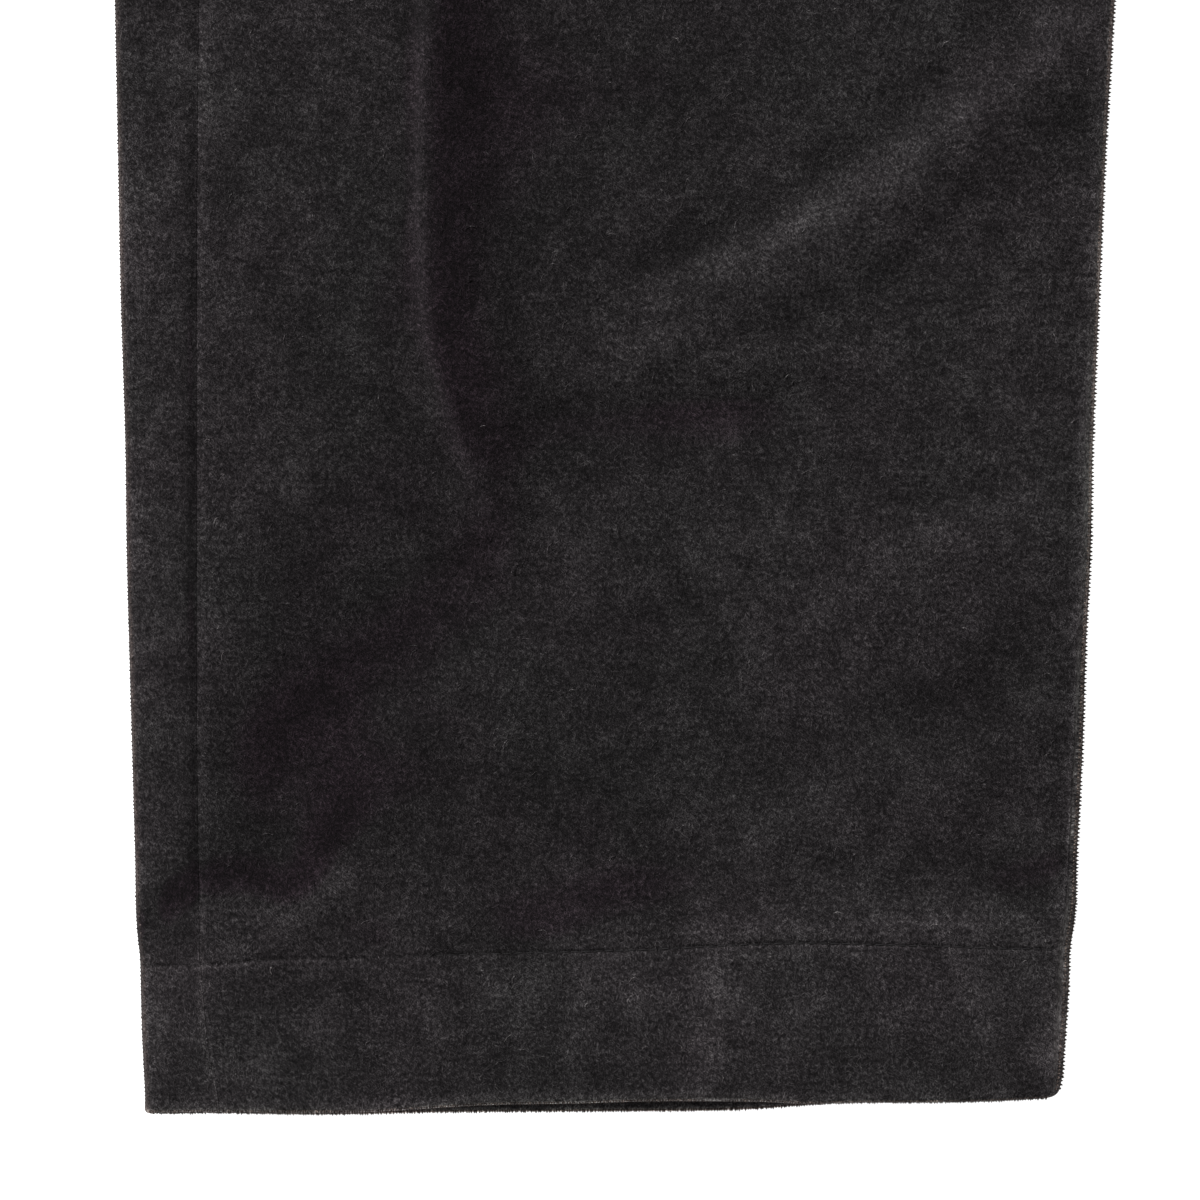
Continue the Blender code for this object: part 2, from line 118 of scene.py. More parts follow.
# %% Outline table
Outline = namedtuple("Outline", "height outer outseam inner inseam")
OUTLINE = (
    Outline(0, 288.6, 270.2, 69.9, 3.2),
    Outline(1.4, 288.3, 270.4, 69.1, 3.2),
    Outline(3.5, 288.2, 270.6, 68.5, 3.2),
    Outline(6, 288.3, 271.0, 68.1, 3.2),
    Outline(10, 288.5, 272.0, 67.9, 3.2),
    Outline(18, 288.9, 273.2, 67.3, 3.2),
    Outline(28, 289.2, 274.1, 66.7, 3.3),
    Outline(38.5, 289.5, 274.9, 66.2, 3.4),
    Outline(44, 290.1, 275.0, 65.4, 3.4),
    Outline(63, 290.7, 275.4, 64.6, 3.3),
    Outline(88, 291.4, 275.7, 63.3, 3.0),
    Outline(112, 292.1, 275.8, 62.5, 2.4),
    Outline(136, 292.7, 275.8, 61.3, 1.2),
    Outline(160, 293.0, 275.8, 60.8, 0.0),
    Outline(196, 294.1, 275.8, 59.3, -0.8),
    Outline(232, 294.8, 275.6, 57.7, -1.5),
    Outline(267, 295.5, 275.3, 55.6, -2.0),
    Outline(340, 297.0, 275.5, 52.0, -3.0),
    Outline(420, 298.6, 276.5, 47.0, -3.4),
    Outline(500, 299.8, 277.5, 41.5, -3.4),
    Outline(580, 300.4, 278.0, 33.5, -3.4),
    Outline(650, 300.2, 278.0, 23.0, -3.2),
    Outline(700, 299.2, 277.2, 13.0, -2.6),
    Outline(735, 297.8, 276.0, 4.5, -1.6),
    Outline(760, 296.2, 274.6, 0.06, 0.0),
    Outline(800, 291.5, 270.5, 0.06, 0.0),
    Outline(850, 281.5, 261.0, 0.06, 0.0),
    Outline(900, 267.5, 247.5, 0.06, 0.0),
    Outline(950, 249.5, 230.0, 0.06, 0.0),
    Outline(995, 230.0, 211.0, 0.06, 0.0),
    Outline(1035, 213.5, 195.0, 0.06, 0.0),
)
print(len(OUTLINE), "heights, up to", OUTLINE[-1].height, "mm")


# %% A smooth curve through a table's rows
def eased(value, low, high):
    """0 below low, 1 above high, and a soft S between them."""
    share = np.clip((value - low) / (high - low), 0, 1)
    return share * share * (3 - 2 * share)


def mix(a, b, share):
    return a + (b - a) * share


def curve_through(places, values, at):
    """A smooth curve through a table's rows, read at the places asked for."""
    slopes = np.gradient(values, places)
    i = np.clip(np.searchsorted(places, at, side="right") - 1, 0, len(places) - 2)
    span = places[i + 1] - places[i]
    t = np.clip((at - places[i]) / span, 0, 1)
    return (
        (1 + 2 * t) * (1 - t) ** 2 * values[i]
        + t * (1 - t) ** 2 * slopes[i] * span
        + t * t * (3 - 2 * t) * values[i + 1]
        - t * t * (1 - t) * slopes[i + 1] * span
    )


def read_table(table, column, place_column, at):
    places = np.array([getattr(row, place_column) for row in table], float)
    values = np.array([getattr(row, column) for row in table], float)
    return curve_through(places, values, np.asarray(at, float))


def outline_at(height, column):
    return MM * read_table(OUTLINE, column, "height", height / MM)


KNEE = 500 * MM
knee_width = float(outline_at(KNEE, "outer") - outline_at(KNEE, "inner"))
print("at the knee the leg is", round(knee_width / MM), "mm wide")

# %% [markdown]
# ## How thick the garment lies, and how its hem runs
#
# Two layers of cloth and a little air lie on each other. The hem is turned up, so that it is four
# layers thick, and the waistband is folded double too. A hem never lies quite straight: the front
# layer draws back and shows the edge of the back layer below it, and the stitches wander a little.

# %% Thickness and hem line
# rim is the share of the painted rim light along the hem's lower edge.
HemRun = namedtuple("HemRun", "share back front stitch rim")
HEM_RUN = (
    HemRun(0.00, 0.5, 0.8, 36.0, 1.0),
    HemRun(0.03, 0.3, 0.9, 36.0, 1.0),
    HemRun(0.07, 0.5, 1.0, 36.2, 1.0),
    HemRun(0.12, 0.3, 0.9, 37.2, 1.0),
    HemRun(0.18, 0.1, 0.8, 37.6, 1.0),
    HemRun(0.24, 0.2, 0.9, 37.9, 1.0),
    HemRun(0.29, 0.5, 1.5, 38.3, 1.0),
    HemRun(0.37, 0.7, 2.6, 38.9, 1.0),
    HemRun(0.46, 0.8, 3.0, 39.4, 1.0),
    HemRun(0.55, 0.9, 3.5, 40.0, 1.0),
    HemRun(0.61, 1.0, 3.6, 40.7, 1.0),
    HemRun(0.67, 1.4, 3.5, 41.3, 1.0),
    HemRun(0.72, 2.2, 3.0, 41.5, 0.85),
    HemRun(0.78, 3.1, 3.2, 41.2, 0.5),
    HemRun(0.86, 3.2, 3.3, 40.7, 0.3),
    HemRun(0.93, 3.6, 3.6, 40.2, 0.3),
    HemRun(1.00, 4.4, 4.4, 39.9, 0.4),
)
HEM_SHAPE_FADES = 60 * MM
HEM_THINS = 25 * MM
STITCHES_DRAW_FROM = 14 * MM
STITCHES_DRAW_TO = (HEM_DEPTH + 4 * MM, HEM_DEPTH + 26 * MM)
print("the front's edge draws back by up to", max(row.front for row in HEM_RUN), "mm")


# %% Thickness and offsets at a height
def thickness_at(height):
    """How thick the garment lies: most at the hem and the waist."""
    at_hem = 1 - eased(height, HEM_DEPTH, HEM_DEPTH + HEM_THINS)
    at_waist = eased(height, WAIST_SEAM - WAIST_THICKENS, WAIST_SEAM)
    return LEG_THICK + (HEM_THICK - LEG_THICK) * at_hem + (BAND_THICK - LEG_THICK) * at_waist


def share_across(across, height):
    """0 at a leg's outer edge and 1 at its inner edge."""
    outer, inner = outline_at(height, "outer"), outline_at(height, "inner")
    return np.clip((outer - across) / (outer - inner), 0, 1)


def hem_offset(across, height, on_top):
    """How far a place is drawn up. The front's row at the hem's depth runs along the stitches."""
    share = share_across(across, height)
    back = read_table(HEM_RUN, "back", "share", share)
    front = read_table(HEM_RUN, "front", "share", share)
    left = 1 - eased(height, 0, HEM_SHAPE_FADES)
    left_at_stitches = 1 - eased(HEM_DEPTH, 0, HEM_SHAPE_FADES)
    stitch = read_table(HEM_RUN, "stitch", "share", share)
    to_stitches = MM * (stitch - front * left_at_stitches) - HEM_DEPTH
    near = eased(height, STITCHES_DRAW_FROM, HEM_DEPTH) * (1 - eased(height, *STITCHES_DRAW_TO))
    return MM * np.where(on_top, front, back) * left + np.where(on_top, to_stitches * near, 0.0)


def waist_offset(across, height, on_top):
    """The waist seam dips at the centre front and rises at the centre back."""
    share = np.clip(np.abs(across) / outline_at(height, "outer"), 0, 1)
    most = np.where(on_top, -FRONT_DIP, BACK_RISE)
    return most * (1 - share**2) * eased(height, WAIST_CURVE_STARTS, WAIST_SEAM)


hem_thick, knee_thick = float(thickness_at(0.0)), float(thickness_at(KNEE))
print("the hem lies", round(hem_thick / MM, 1), "mm thick and the knee", round(knee_thick / MM, 1), "mm")

# %% [markdown]
# ## Soft folds
#
# Heavy brushed cloth doesn't crease sharply. It lies in long low ridges with a trough beside
# them, steeper on one side than on the other. They could come from a cloth simulation, but then
# they would fall where they like. A table with a row for each fold puts them where they are seen,
# like lines drawn with tailor's chalk. rise is a fold's height, or its depth where it is below 0.
# near and far are how wide its right-hand and left-hand sides reach, looking along its path. The
# path is a list of places, X and the height above the hem, all in mm.

# %% Fold table
Fold = namedtuple("Fold", "rise near far path")
FOLDS = (
    # right shin: the long upright ridge with its dark valley
    Fold(2.5, 15, 2.5, (
        (-204, 142), (-209.4, 156), (-213.6, 168), (-217.9, 183), (-220.2, 200), (-220.6, 235),
        (-220.3, 275), (-221.8, 345), (-226, 420),
    )),
    # the hollow that runs on from it down to the outer edge
    Fold(-1.6, 22, 13, (
        (-184, 160), (-196, 136), (-211, 122), (-228, 111), (-243, 98), (-251, 84), (-254, 70),
    )),
    # the slanting ridge at the inner edge, and the troughs on both sides of it
    Fold(2.4, 13.5, 7.2, (
        (-160, 195.5), (-150.5, 198), (-136, 205.3), (-117.3, 215.8), (-98.3, 229.3), (-81.3, 241.8),
        (-62.3, 257.8), (-44.3, 272.3),
    )),
    Fold(-0.6, 9, 5, (
        (-168, 204), (-158, 206), (-142, 214), (-122, 227), (-104, 241), (-88, 256), (-70, 275),
    )),
    Fold(-0.7, 6, 5, ((-196, 166), (-176, 168), (-158, 169), (-134, 171.5), (-112, 172))),
    Fold(0.8, 6, 5, ((-172, 181), (-156, 184), (-142, 181), (-128, 180))),
    # low steps between the middle and the inner edge
    Fold(0.9, 9, 5, ((-126, 118), (-110, 129), (-98, 137), (-84, 143), (-64, 150))),
    Fold(0.7, 8, 7, ((-128, 96), (-110, 101), (-95, 108), (-86, 118), (-80, 132))),
    Fold(0.7, 9, 8, ((-152, 56), (-132, 68), (-112, 82), (-92, 90), (-70, 92))),
    Fold(0.6, 6, 6, ((-118, 56), (-104, 66), (-92, 78), (-78, 84))),
    # along the hem's stitches, and across the hem
    Fold(0.5, 3.2, 2.6, (
        (-162, 43.4), (-146, 44), (-120, 44.4), (-92, 45.2), (-76, 45), (-66, 38),
    )),
    Fold(0.5, 5, 3.4, (
        (-294, 36), (-281, 44.5), (-262, 46), (-250, 46.5), (-243, 53), (-239, 60), (-234, 68),
    )),
    Fold(0.5, 4, 3, ((-152, -8), (-151, 14), (-150, 30), (-147, 48))),
    Fold(0.3, 2.4, 2.4, ((-184, 2), (-183.5, 16), (-183, 30), (-182, 42))),
    Fold(0.4, 7, 6, ((-238, 20), (-238, 32), (-222, 36), (-204, 34))),
    Fold(-0.4, 7, 7, ((-250, 6), (-250, 20), (-249, 36))),
    # ripples in the strip beside the outer edge
    Fold(0.3, 5, 5, ((-292, 236), (-280, 245), (-270, 256))),
    Fold(0.3, 5, 5, ((-294, 190), (-284, 202), (-276, 212))),
    Fold(0.25, 5, 5, ((-292, 150), (-282, 162), (-274, 172))),
    Fold(0.25, 5, 5, ((-292, 104), (-282, 114), (-274, 122))),
    # right knee, thigh and hip
    Fold(2.2, 12, 8, ((-72, 452), (-128, 436), (-178, 410), (-212, 386))),
    Fold(-1.2, 12, 12, ((-288, 520), (-250, 494), (-205, 462), (-170, 446))),
    Fold(2.4, 7, 15, ((-214, 700), (-228, 640), (-234, 570), (-236, 500))),
    Fold(2.0, 12, 8, ((-52, 640), (-92, 612), (-130, 580), (-158, 552))),
    Fold(2.3, 11, 6, ((-12, 744), (-60, 738), (-108, 726), (-156, 708))),
    Fold(2.1, 8, 13, ((-10, 768), (-52, 792), (-96, 822), (-136, 846))),
    Fold(-1.0, 12, 12, ((-20, 802), (-60, 830), (-100, 862))),
    Fold(1.9, 13, 8, ((-206, 910), (-228, 860), (-242, 800), (-248, 750))),
    # left shin
    Fold(2.4, 4, 13, ((204, 150), (212, 180), (216, 220), (215, 290), (210, 372))),
    Fold(-1.3, 9, 18, ((178, 132), (202, 112), (226, 98), (242, 76), (252, 52))),
    Fold(1.9, 6, 8, ((60, 246), (92, 226), (124, 200), (152, 178))),
    Fold(-0.8, 8, 6, ((66, 258), (98, 238), (128, 212))),
    Fold(0.8, 6, 8, ((92, 128), (118, 116), (148, 110))),
    Fold(0.7, 8, 8, ((84, 64), (112, 76), (142, 70))),
    Fold(0.8, 3, 3, ((78, 45), (112, 44.6), (150, 44.2), (178, 44))),
    Fold(0.8, 4, 5, ((292, 44), (270, 48), (246, 54), (232, 64))),
    Fold(0.4, 4, 3, ((138, -6), (139, 16), (141, 44))),
    Fold(1.2, 16, 12, ((84, 336), (112, 320), (146, 294))),
    # left knee, thigh and hip
    Fold(2.1, 8, 13, ((66, 412), (112, 430), (158, 448), (194, 474))),
    Fold(-1.1, 13, 13, ((280, 428), (246, 452), (206, 496))),
    Fold(2.2, 14, 8, ((238, 670), (232, 610), (216, 520))),
    Fold(1.8, 8, 13, ((60, 606), (108, 584), (170, 546))),
    Fold(2.4, 6, 11, ((12, 740), (62, 730), (144, 698))),
    Fold(2.1, 13, 8, ((10, 772), (64, 798), (130, 832))),
    Fold(-0.9, 12, 12, ((16, 806), (58, 834), (96, 860))),
    Fold(1.9, 8, 13, ((204, 904), (230, 858), (246, 792))),
)
print(len(FOLDS), "folds")

# %% How a fold raises the cloth
FOLD_END = 0.2
PATH_STEPS = 8
EDGE_FADE = 12 * MM
MOST_GAP = 6.4 * MM
LEAST_GAP = 0.2 * MM
LEAST_DROP = 0.05 * MM


def along_path(path):
    """Close places on a smooth curve through a path, in metres."""
    path = np.array(path, float) * MM
    rows = np.arange(len(path), dtype=float)
    at = np.linspace(0, rows[-1], PATH_STEPS * (len(path) - 1) + 1)
    return np.stack([curve_through(rows, path[:, k], at) for k in (0, 1)], axis=1)


def fold_height(fold, x, y):
    """What one fold adds at these places: a soft ridge along its path, lower at both ends."""
    places = along_path(fold.path)
    steps = np.diff(places, axis=0)
    sizes = np.linalg.norm(steps, axis=1)
    nearest = np.full(x.shape, np.inf)
    side = np.zeros(x.shape)
    share = np.zeros(x.shape)
    passed = 0.0
    for (from_x, from_y), (step_x, step_y), size in zip(places[:-1], steps, sizes):
        away_x, away_y = x - from_x, y - from_y
        t = np.clip((away_x * step_x + away_y * step_y) / size**2, 0, 1)
        distance = np.hypot(away_x - t * step_x, away_y - t * step_y)
        closer = distance < nearest
        nearest = np.where(closer, distance, nearest)
        side = np.where(closer, away_x * step_y - away_y * step_x, side)
        share = np.where(closer, (passed + t * size) / sizes.sum(), share)
        passed += size
    spread = np.where(side > 0, fold.near, fold.far) * MM
    ends = eased(share, -FOLD_END, FOLD_END) * (1 - eased(share, 1 - FOLD_END, 1 + FOLD_END))
    return fold.rise * MM * ends * np.exp(-((nearest / spread) ** 2))


def limited(value, low, high):
    """Bent softly, so that it stays between low, which is below 0, and high."""
    limit = np.where(value > 0, high, -low)
    return limit * np.tanh(value / limit)


def lift_at(side, across, height):
    """How far the upper layer stands above a leg that lies quite flat."""
    radius = thickness_at(height) / 2
    drawn_up = height + hem_offset(across, height, True)
    raised = sum(fold_height(fold, side * across, drawn_up) for fold in FOLDS)
    wall = np.where(height < HEM_DEPTH, 2 * turn_radius, CLOTH)
    gap = 2 * (radius - wall)
    soft = limited(raised, np.minimum(LEAST_GAP - gap, -LEAST_DROP), MOST_GAP - gap)
    from_inner = np.where(height < CROTCH, across - outline_at(height, "inner"), EDGE_FADE)
    near_edges = eased(np.minimum(outline_at(height, "outer") - across, from_inner), 0, EDGE_FADE)
    return soft * near_edges * (1 - eased(height, WAIST_SEAM - 2 * WAIST_THICKENS, WAIST_SEAM))


ridge = float(lift_at(-1, np.array([220 * MM]), np.array([230 * MM]))[0])
print("the right shin's long ridge stands", round(ridge / MM, 1), "mm above a flat leg")

# %% [markdown]
# ## Painted light and shade
#
# This table paints light and shade into the cloth's colour. Brushed cloth looks paler where its
# nap leans towards the light and darker where it leans away, as on corduroy or suede, and that
# painted sheen is here, with painted shade in the valleys and hollows of the folds, painted
# highlights on the sides of the ridges turned to the light, and painted shade and highlights
# beside the seams and the hem's stitches. The table is read like that of the folds, but rise is
# the share by which a patch is painted paler or darker.

# %% Table of painted light and shade
PaintedLight = namedtuple("PaintedLight", "rise near far path")
PAINTED_LIGHT = (
    # right shin: painted shade in the valley beside the long ridge and in the hollow below it
    PaintedLight(-0.74, 7.5, 4.6, (
        (-207, 160), (-211, 170), (-215, 184), (-216, 200), (-215.6, 230), (-214.4, 260), (-212.5, 330),
    )),
    PaintedLight(-0.14, 2.5, 2.5, ((-225, 190), (-225.4, 228), (-225.2, 270))),
    PaintedLight(-0.25, 3, 3, ((-221.4, 182), (-223.2, 200), (-223.4, 235), (-223, 280), (-224, 340))),
    PaintedLight(-0.12, 4, 4, ((-217, 168), (-211, 156), (-205, 145))),
    PaintedLight(-0.20, 5, 5, ((-210, 120), (-200, 128))),
    PaintedLight(-0.15, 5, 5, ((-216, 97), (-210, 94))),
    PaintedLight(-0.24, 12, 12, ((-206, 188), (-205, 220), (-204, 250), (-202, 320))),
    PaintedLight(-0.14, 12, 12, ((-204, 152), (-200, 164), (-196, 180))),
    PaintedLight(-0.44, 8, 7, (
        (-200, 150), (-208, 135), (-225, 119), (-244, 103), (-255, 92), (-260, 82), (-261, 73),
    )),
    PaintedLight(-0.33, 16, 15, ((-216, 166), (-234, 148), (-248, 128), (-251, 108), (-247, 86))),
    PaintedLight(-0.26, 7, 7, ((-240, 100), (-241, 84), (-242, 71))),
    PaintedLight(-0.14, 12, 12, ((-262, 84), (-246, 80), (-229, 82))),
    PaintedLight(-0.26, 7, 7, ((-264, 84), (-254, 96), (-238, 96))),
    PaintedLight(-0.18, 3, 3, ((-275, 78), (-275, 66))),
    PaintedLight(-0.26, 8, 9, ((-250, 74), (-232, 82), (-212, 80), (-194, 79), (-178, 74), (-176, 58))),
    PaintedLight(-0.85, 5.2, 4.6, (
        (-291, 39), (-287, 47), (-281, 53), (-272, 57.3), (-262, 58), (-254, 55.5), (-249, 60),
        (-245, 67), (-238, 73),
    )),
    # the slanting ridge: a painted highlight on its lit side, and painted shade in the troughs beside it
    PaintedLight(0.24, 5.6, 4.4, (
        (-157, 200), (-149, 204), (-135, 211.5), (-116.5, 222), (-98.5, 235), (-82.5, 247.5), (-66.5, 261),
        (-51.5, 273.5),
    )),
    PaintedLight(-0.16, 6, 5, ((-182, 208), (-160, 211), (-144, 217))),
    PaintedLight(-0.12, 4, 4, ((-158, 192), (-142, 192), (-126, 197))),
    PaintedLight(0.12, 6, 6, ((-118, 206), (-100, 216), (-84, 232))),
    PaintedLight(0.25, 5, 5, ((-68, 243), (-63, 254))),
    PaintedLight(0.15, 7, 5, ((-165, 181), (-145, 177), (-118, 177))),
    PaintedLight(-0.10, 6, 6, ((-178, 155), (-165, 155))),
    PaintedLight(-0.10, 5, 5, ((-152, 163), (-128, 163))),
    PaintedLight(-0.10, 6, 6, ((-140, 103), (-118, 104), (-98, 112))),
    PaintedLight(0.15, 4, 4, ((-126, 138), (-110, 128), (-96, 134))),
    PaintedLight(0.08, 7, 7, ((-66, 220), (-72, 208), (-80, 196))),
    PaintedLight(0.24, 5, 5, ((-176, 184), (-160, 186), (-144, 181))),
    PaintedLight(-0.24, 3, 3, ((-168, 168), (-150, 170), (-133, 172))),
    PaintedLight(-0.14, 7, 7, ((-162, 161), (-144, 163))),
    # both sides of the outer seam: painted shade on the side turned from the light, a painted highlight on
    # the other
    PaintedLight(0.30, 1.5, 1.3, (
        (-274.5, 40), (-274.2, 100), (-274.5, 160), (-274.4, 220), (-273.5, 300), (-274, 600),
    )),
    PaintedLight(0.85, 1.1, 1.1, ((-270.2, 1), (-271.6, 7.2), (-273.3, 15.6), (-274.4, 28), (-274.6, 52))),
    PaintedLight(-0.30, 1.2, 1.3, (
        (-276.6, 52), (-276.8, 100), (-277.2, 160), (-277.3, 220), (-276.8, 300), (-277.5, 600),
    )),
    PaintedLight(-0.25, 1.6, 3, ((-278, 238), (-277.8, 226))),
    PaintedLight(-0.20, 1.6, 3, ((-278, 192), (-277.8, 168))),
    PaintedLight(-0.20, 1.6, 3, ((-278, 128), (-277.6, 114))),
    PaintedLight(0.22, 5, 5, ((-285, 60), (-285, 140), (-286, 210), (-287, 280))),
    PaintedLight(0.14, 5, 5, ((-279, 222), (-273, 240), (-272, 258))),
    PaintedLight(-0.10, 5, 5, ((-296, 252), (-296, 268))),
    PaintedLight(0.12, 7, 7, ((-268, 120), (-267, 160), (-266, 215), (-266, 270))),
    PaintedLight(-0.15, 6, 5, ((-232, 178), (-233, 200), (-231, 214))),
    PaintedLight(0.15, 6, 6, ((-279, 234), (-275, 250), (-274, 266))),
    PaintedLight(0.14, 4, 4, ((-272, 98), (-272, 116), (-271, 136))),
    PaintedLight(0.10, 6, 6, ((-256, 236), (-246, 230))),
    PaintedLight(0.22, 4, 4, ((-293, 204), (-293, 224))),
    PaintedLight(0.16, 4, 4, ((-291, 84), (-291, 110))),
    PaintedLight(0.45, 3.5, 3.5, ((-289, 34), (-286, 42))),
    # the middle and the inner side
    PaintedLight(-0.30, 6, 5, ((-200, 163), (-176, 166), (-152, 169), (-134, 169))),
    PaintedLight(-0.15, 14, 14, ((-190, 240), (-165, 250), (-140, 262))),
    PaintedLight(0.10, 16, 16, ((-186, 140), (-150, 140), (-116, 128), (-90, 140))),
    PaintedLight(0.28, 3.6, 3.2, ((-110, 131), (-99, 135.5), (-89, 139.5), (-77, 143.5))),
    PaintedLight(0.16, 9, 9, ((-142, 112), (-128, 122), (-112, 126))),
    PaintedLight(0.10, 6, 6, ((-134, 137), (-120, 136))),
    PaintedLight(-0.14, 14, 14, ((-186, 128), (-176, 112), (-154, 106))),
    PaintedLight(-0.20, 7, 7, ((-206, 124), (-217, 112), (-224, 100), (-214, 94))),
    PaintedLight(-0.12, 8, 8, ((-112, 104), (-98, 108), (-90, 114))),
    PaintedLight(-0.12, 14, 12, ((-194, 205), (-192, 235), (-190, 270))),
    PaintedLight(-0.10, 6, 6, ((-114, 68), (-102, 62))),
    PaintedLight(-0.18, 8, 8, ((-100, 97), (-84, 101), (-82, 114), (-86, 130))),
    PaintedLight(-0.12, 8, 8, ((-176, 118), (-160, 112), (-150, 104))),
    PaintedLight(-0.25, 5, 6, ((-62, 64), (-74, 58), (-88, 55))),
    PaintedLight(-0.24, 5, 5, ((-86, 58), (-74, 60), (-66, 61))),
    PaintedLight(0.14, 7, 7, ((-168, 68), (-150, 70), (-136, 64))),
    PaintedLight(0.12, 7, 7, ((-116, 76), (-104, 84), (-94, 86))),
    # above the hem's stitches: a painted highlight where the cloth rises to the thicker hem, and painted
    # shade beside it
    PaintedLight(-0.50, 7, 7, ((-206, 50), (-194, 48), (-182, 52), (-160, 57))),
    PaintedLight(-0.12, 3, 3, ((-236, 41), (-214, 42), (-196, 44), (-180, 46))),
    PaintedLight(0.08, 3, 3, ((-266, 45), (-256, 47), (-246, 50), (-238, 58), (-230, 58))),
    PaintedLight(-0.14, 8, 8, ((-202, 63), (-188, 56))),
    PaintedLight(-0.12, 5, 5, ((-242, 43), (-228, 43))),
    PaintedLight(0.24, 3, 3, ((-264, 41), (-246, 42))),
    PaintedLight(0.42, 3.2, 2.4, ((-156, 44.2), (-140, 44.6), (-120, 44.8), (-90, 46), (-72, 44))),
    PaintedLight(0.35, 1.1, 1.1, ((-289, 35.6), (-276, 36), (-262, 37), (-245, 37.6))),
    PaintedLight(0.30, 3, 2.2, ((-150, 41.5), (-120, 42), (-92, 42.4), (-74, 41))),
    PaintedLight(0.18, 4, 4, ((-150, 39), (-136, 42))),
    PaintedLight(0.22, 2, 2, ((-82, 47), (-74, 45.5), (-68, 40))),
    # on the hem
    PaintedLight(0.22, 18, 14, ((-300, 20), (-200, 22), (-130, 24), (-50, 26))),
    PaintedLight(0.10, 12, 12, ((-140, 22), (-110, 26), (-80, 28))),
    PaintedLight(0.20, 4, 4, ((-152.5, -4), (-152, 18), (-150, 34), (-144, 40))),
    PaintedLight(0.12, 6, 6, ((-172, 34), (-161, 28), (-158, 10))),
    PaintedLight(0.12, 3, 3, ((-183.5, 0), (-183.5, 18), (-183, 38))),
    PaintedLight(0.22, 5, 5, ((-234, 32), (-218, 32.5), (-202, 32))),
    PaintedLight(-0.22, 7, 7, ((-252, 10), (-250, 24), (-246, 34))),
    PaintedLight(0.20, 4, 4, ((-290, 10), (-284, 30), (-284, 40))),
    PaintedLight(0.20, 3.5, 3.5, ((-270, 4), (-264, 6), (-256, 12))),
    PaintedLight(-0.20, 4, 4, ((-186, 12), (-170, 9), (-160, 9))),
    PaintedLight(-0.30, 4, 4, ((-81, 4), (-76, 7), (-73, 11))),
    # broad paler and darker places of the shin
    PaintedLight(-0.14, 6, 6, ((-291, 266), (-289, 256))),
    PaintedLight(0.46, 5, 5, ((-277, 256), (-276, 240), (-276, 222))),
    PaintedLight(0.12, 5, 5, ((-256, 238), (-255, 230), (-256, 204))),
    PaintedLight(0.25, 3.5, 7, ((-290, 219), (-290, 206))),
    PaintedLight(-0.09, 12, 12, ((-228, 252), (-190, 248), (-150, 252))),
    PaintedLight(-0.20, 9, 9, ((-204, 250), (-202, 226))),
    PaintedLight(-0.07, 10, 10, ((-190, 238), (-150, 240))),
    PaintedLight(-0.10, 7, 7, ((-148, 266), (-140, 260))),
    PaintedLight(-0.15, 6, 6, ((-110, 266), (-96, 264))),
    PaintedLight(0.20, 9, 9, ((-70, 250), (-76, 230), (-72, 212))),
    PaintedLight(0.15, 4, 6, ((-62, 205), (-63, 186))),
    PaintedLight(0.45, 2.5, 2.5, ((-61, 176), (-62.6, 112))),
    PaintedLight(-0.15, 6, 6, ((-172, 204), (-158, 205))),
    PaintedLight(-0.18, 6, 6, ((-229, 206), (-228, 186))),
    PaintedLight(-0.07, 14, 14, ((-262, 190), (-235, 170))),
    PaintedLight(-0.12, 7, 7, ((-217, 182), (-204, 178), (-192, 178))),
    PaintedLight(0.24, 7, 7, ((-148, 180), (-122, 183), (-96, 186))),
    PaintedLight(-0.14, 6, 6, ((-180, 155), (-158, 154))),
    PaintedLight(0.26, 10, 10, ((-118, 140), (-96, 131), (-76, 142))),
    PaintedLight(-0.10, 7, 7, ((-226, 146), (-215, 140))),
    PaintedLight(-0.38, 5, 5, ((-291, 126), (-288, 114))),
    PaintedLight(0.28, 6, 6, ((-286, 106), (-281, 94), (-286, 86))),
    PaintedLight(-0.18, 9, 9, ((-232, 114), (-216, 119))),
    PaintedLight(-0.13, 7, 7, ((-158, 121), (-144, 116))),
    PaintedLight(-0.08, 8, 8, ((-122, 96), (-84, 95))),
    PaintedLight(-0.20, 6, 6, ((-192, 64), (-180, 68))),
    PaintedLight(0.36, 5, 5, ((-98, 70), (-83, 72))),
    PaintedLight(0.15, 5, 5, ((-114, 61), (-102, 56))),
    PaintedLight(-0.14, 5, 5, ((-162, 57), (-148, 58))),
    PaintedLight(-0.24, 6, 6, ((-242, 48), (-228, 45))),
    PaintedLight(0.40, 6, 6, ((-288, 38), (-277, 33), (-268, 36))),
    PaintedLight(-0.26, 6, 6, ((-242, 36), (-239, 22), (-234, 8))),
    PaintedLight(0.26, 6, 6, ((-277, 26), (-274, 8))),
    PaintedLight(-0.22, 4, 4, ((-193, 18), (-190, 6))),
    PaintedLight(0.32, 6, 6, ((-151, 38), (-150, 24), (-156, 8))),
    PaintedLight(0.14, 5, 5, ((-134, 38), (-118, 36))),
    PaintedLight(0.38, 5, 5, ((-121, 13), (-116, 6))),
    PaintedLight(0.20, 7, 7, ((-283, 192), (-284, 160), (-281, 148))),
    PaintedLight(0.18, 6, 6, ((-270, 143), (-271, 128))),
    PaintedLight(0.12, 5, 5, ((-252, 207), (-250, 193))),
    PaintedLight(0.10, 5, 5, ((-241, 229), (-238, 222))),
    PaintedLight(-0.10, 8, 8, ((-218, 143), (-200, 134), (-178, 124), (-148, 124))),
    PaintedLight(-0.09, 10, 10, ((-231, 108), (-217, 96))),
    PaintedLight(0.12, 6, 6, ((-195, 93), (-187, 91))),
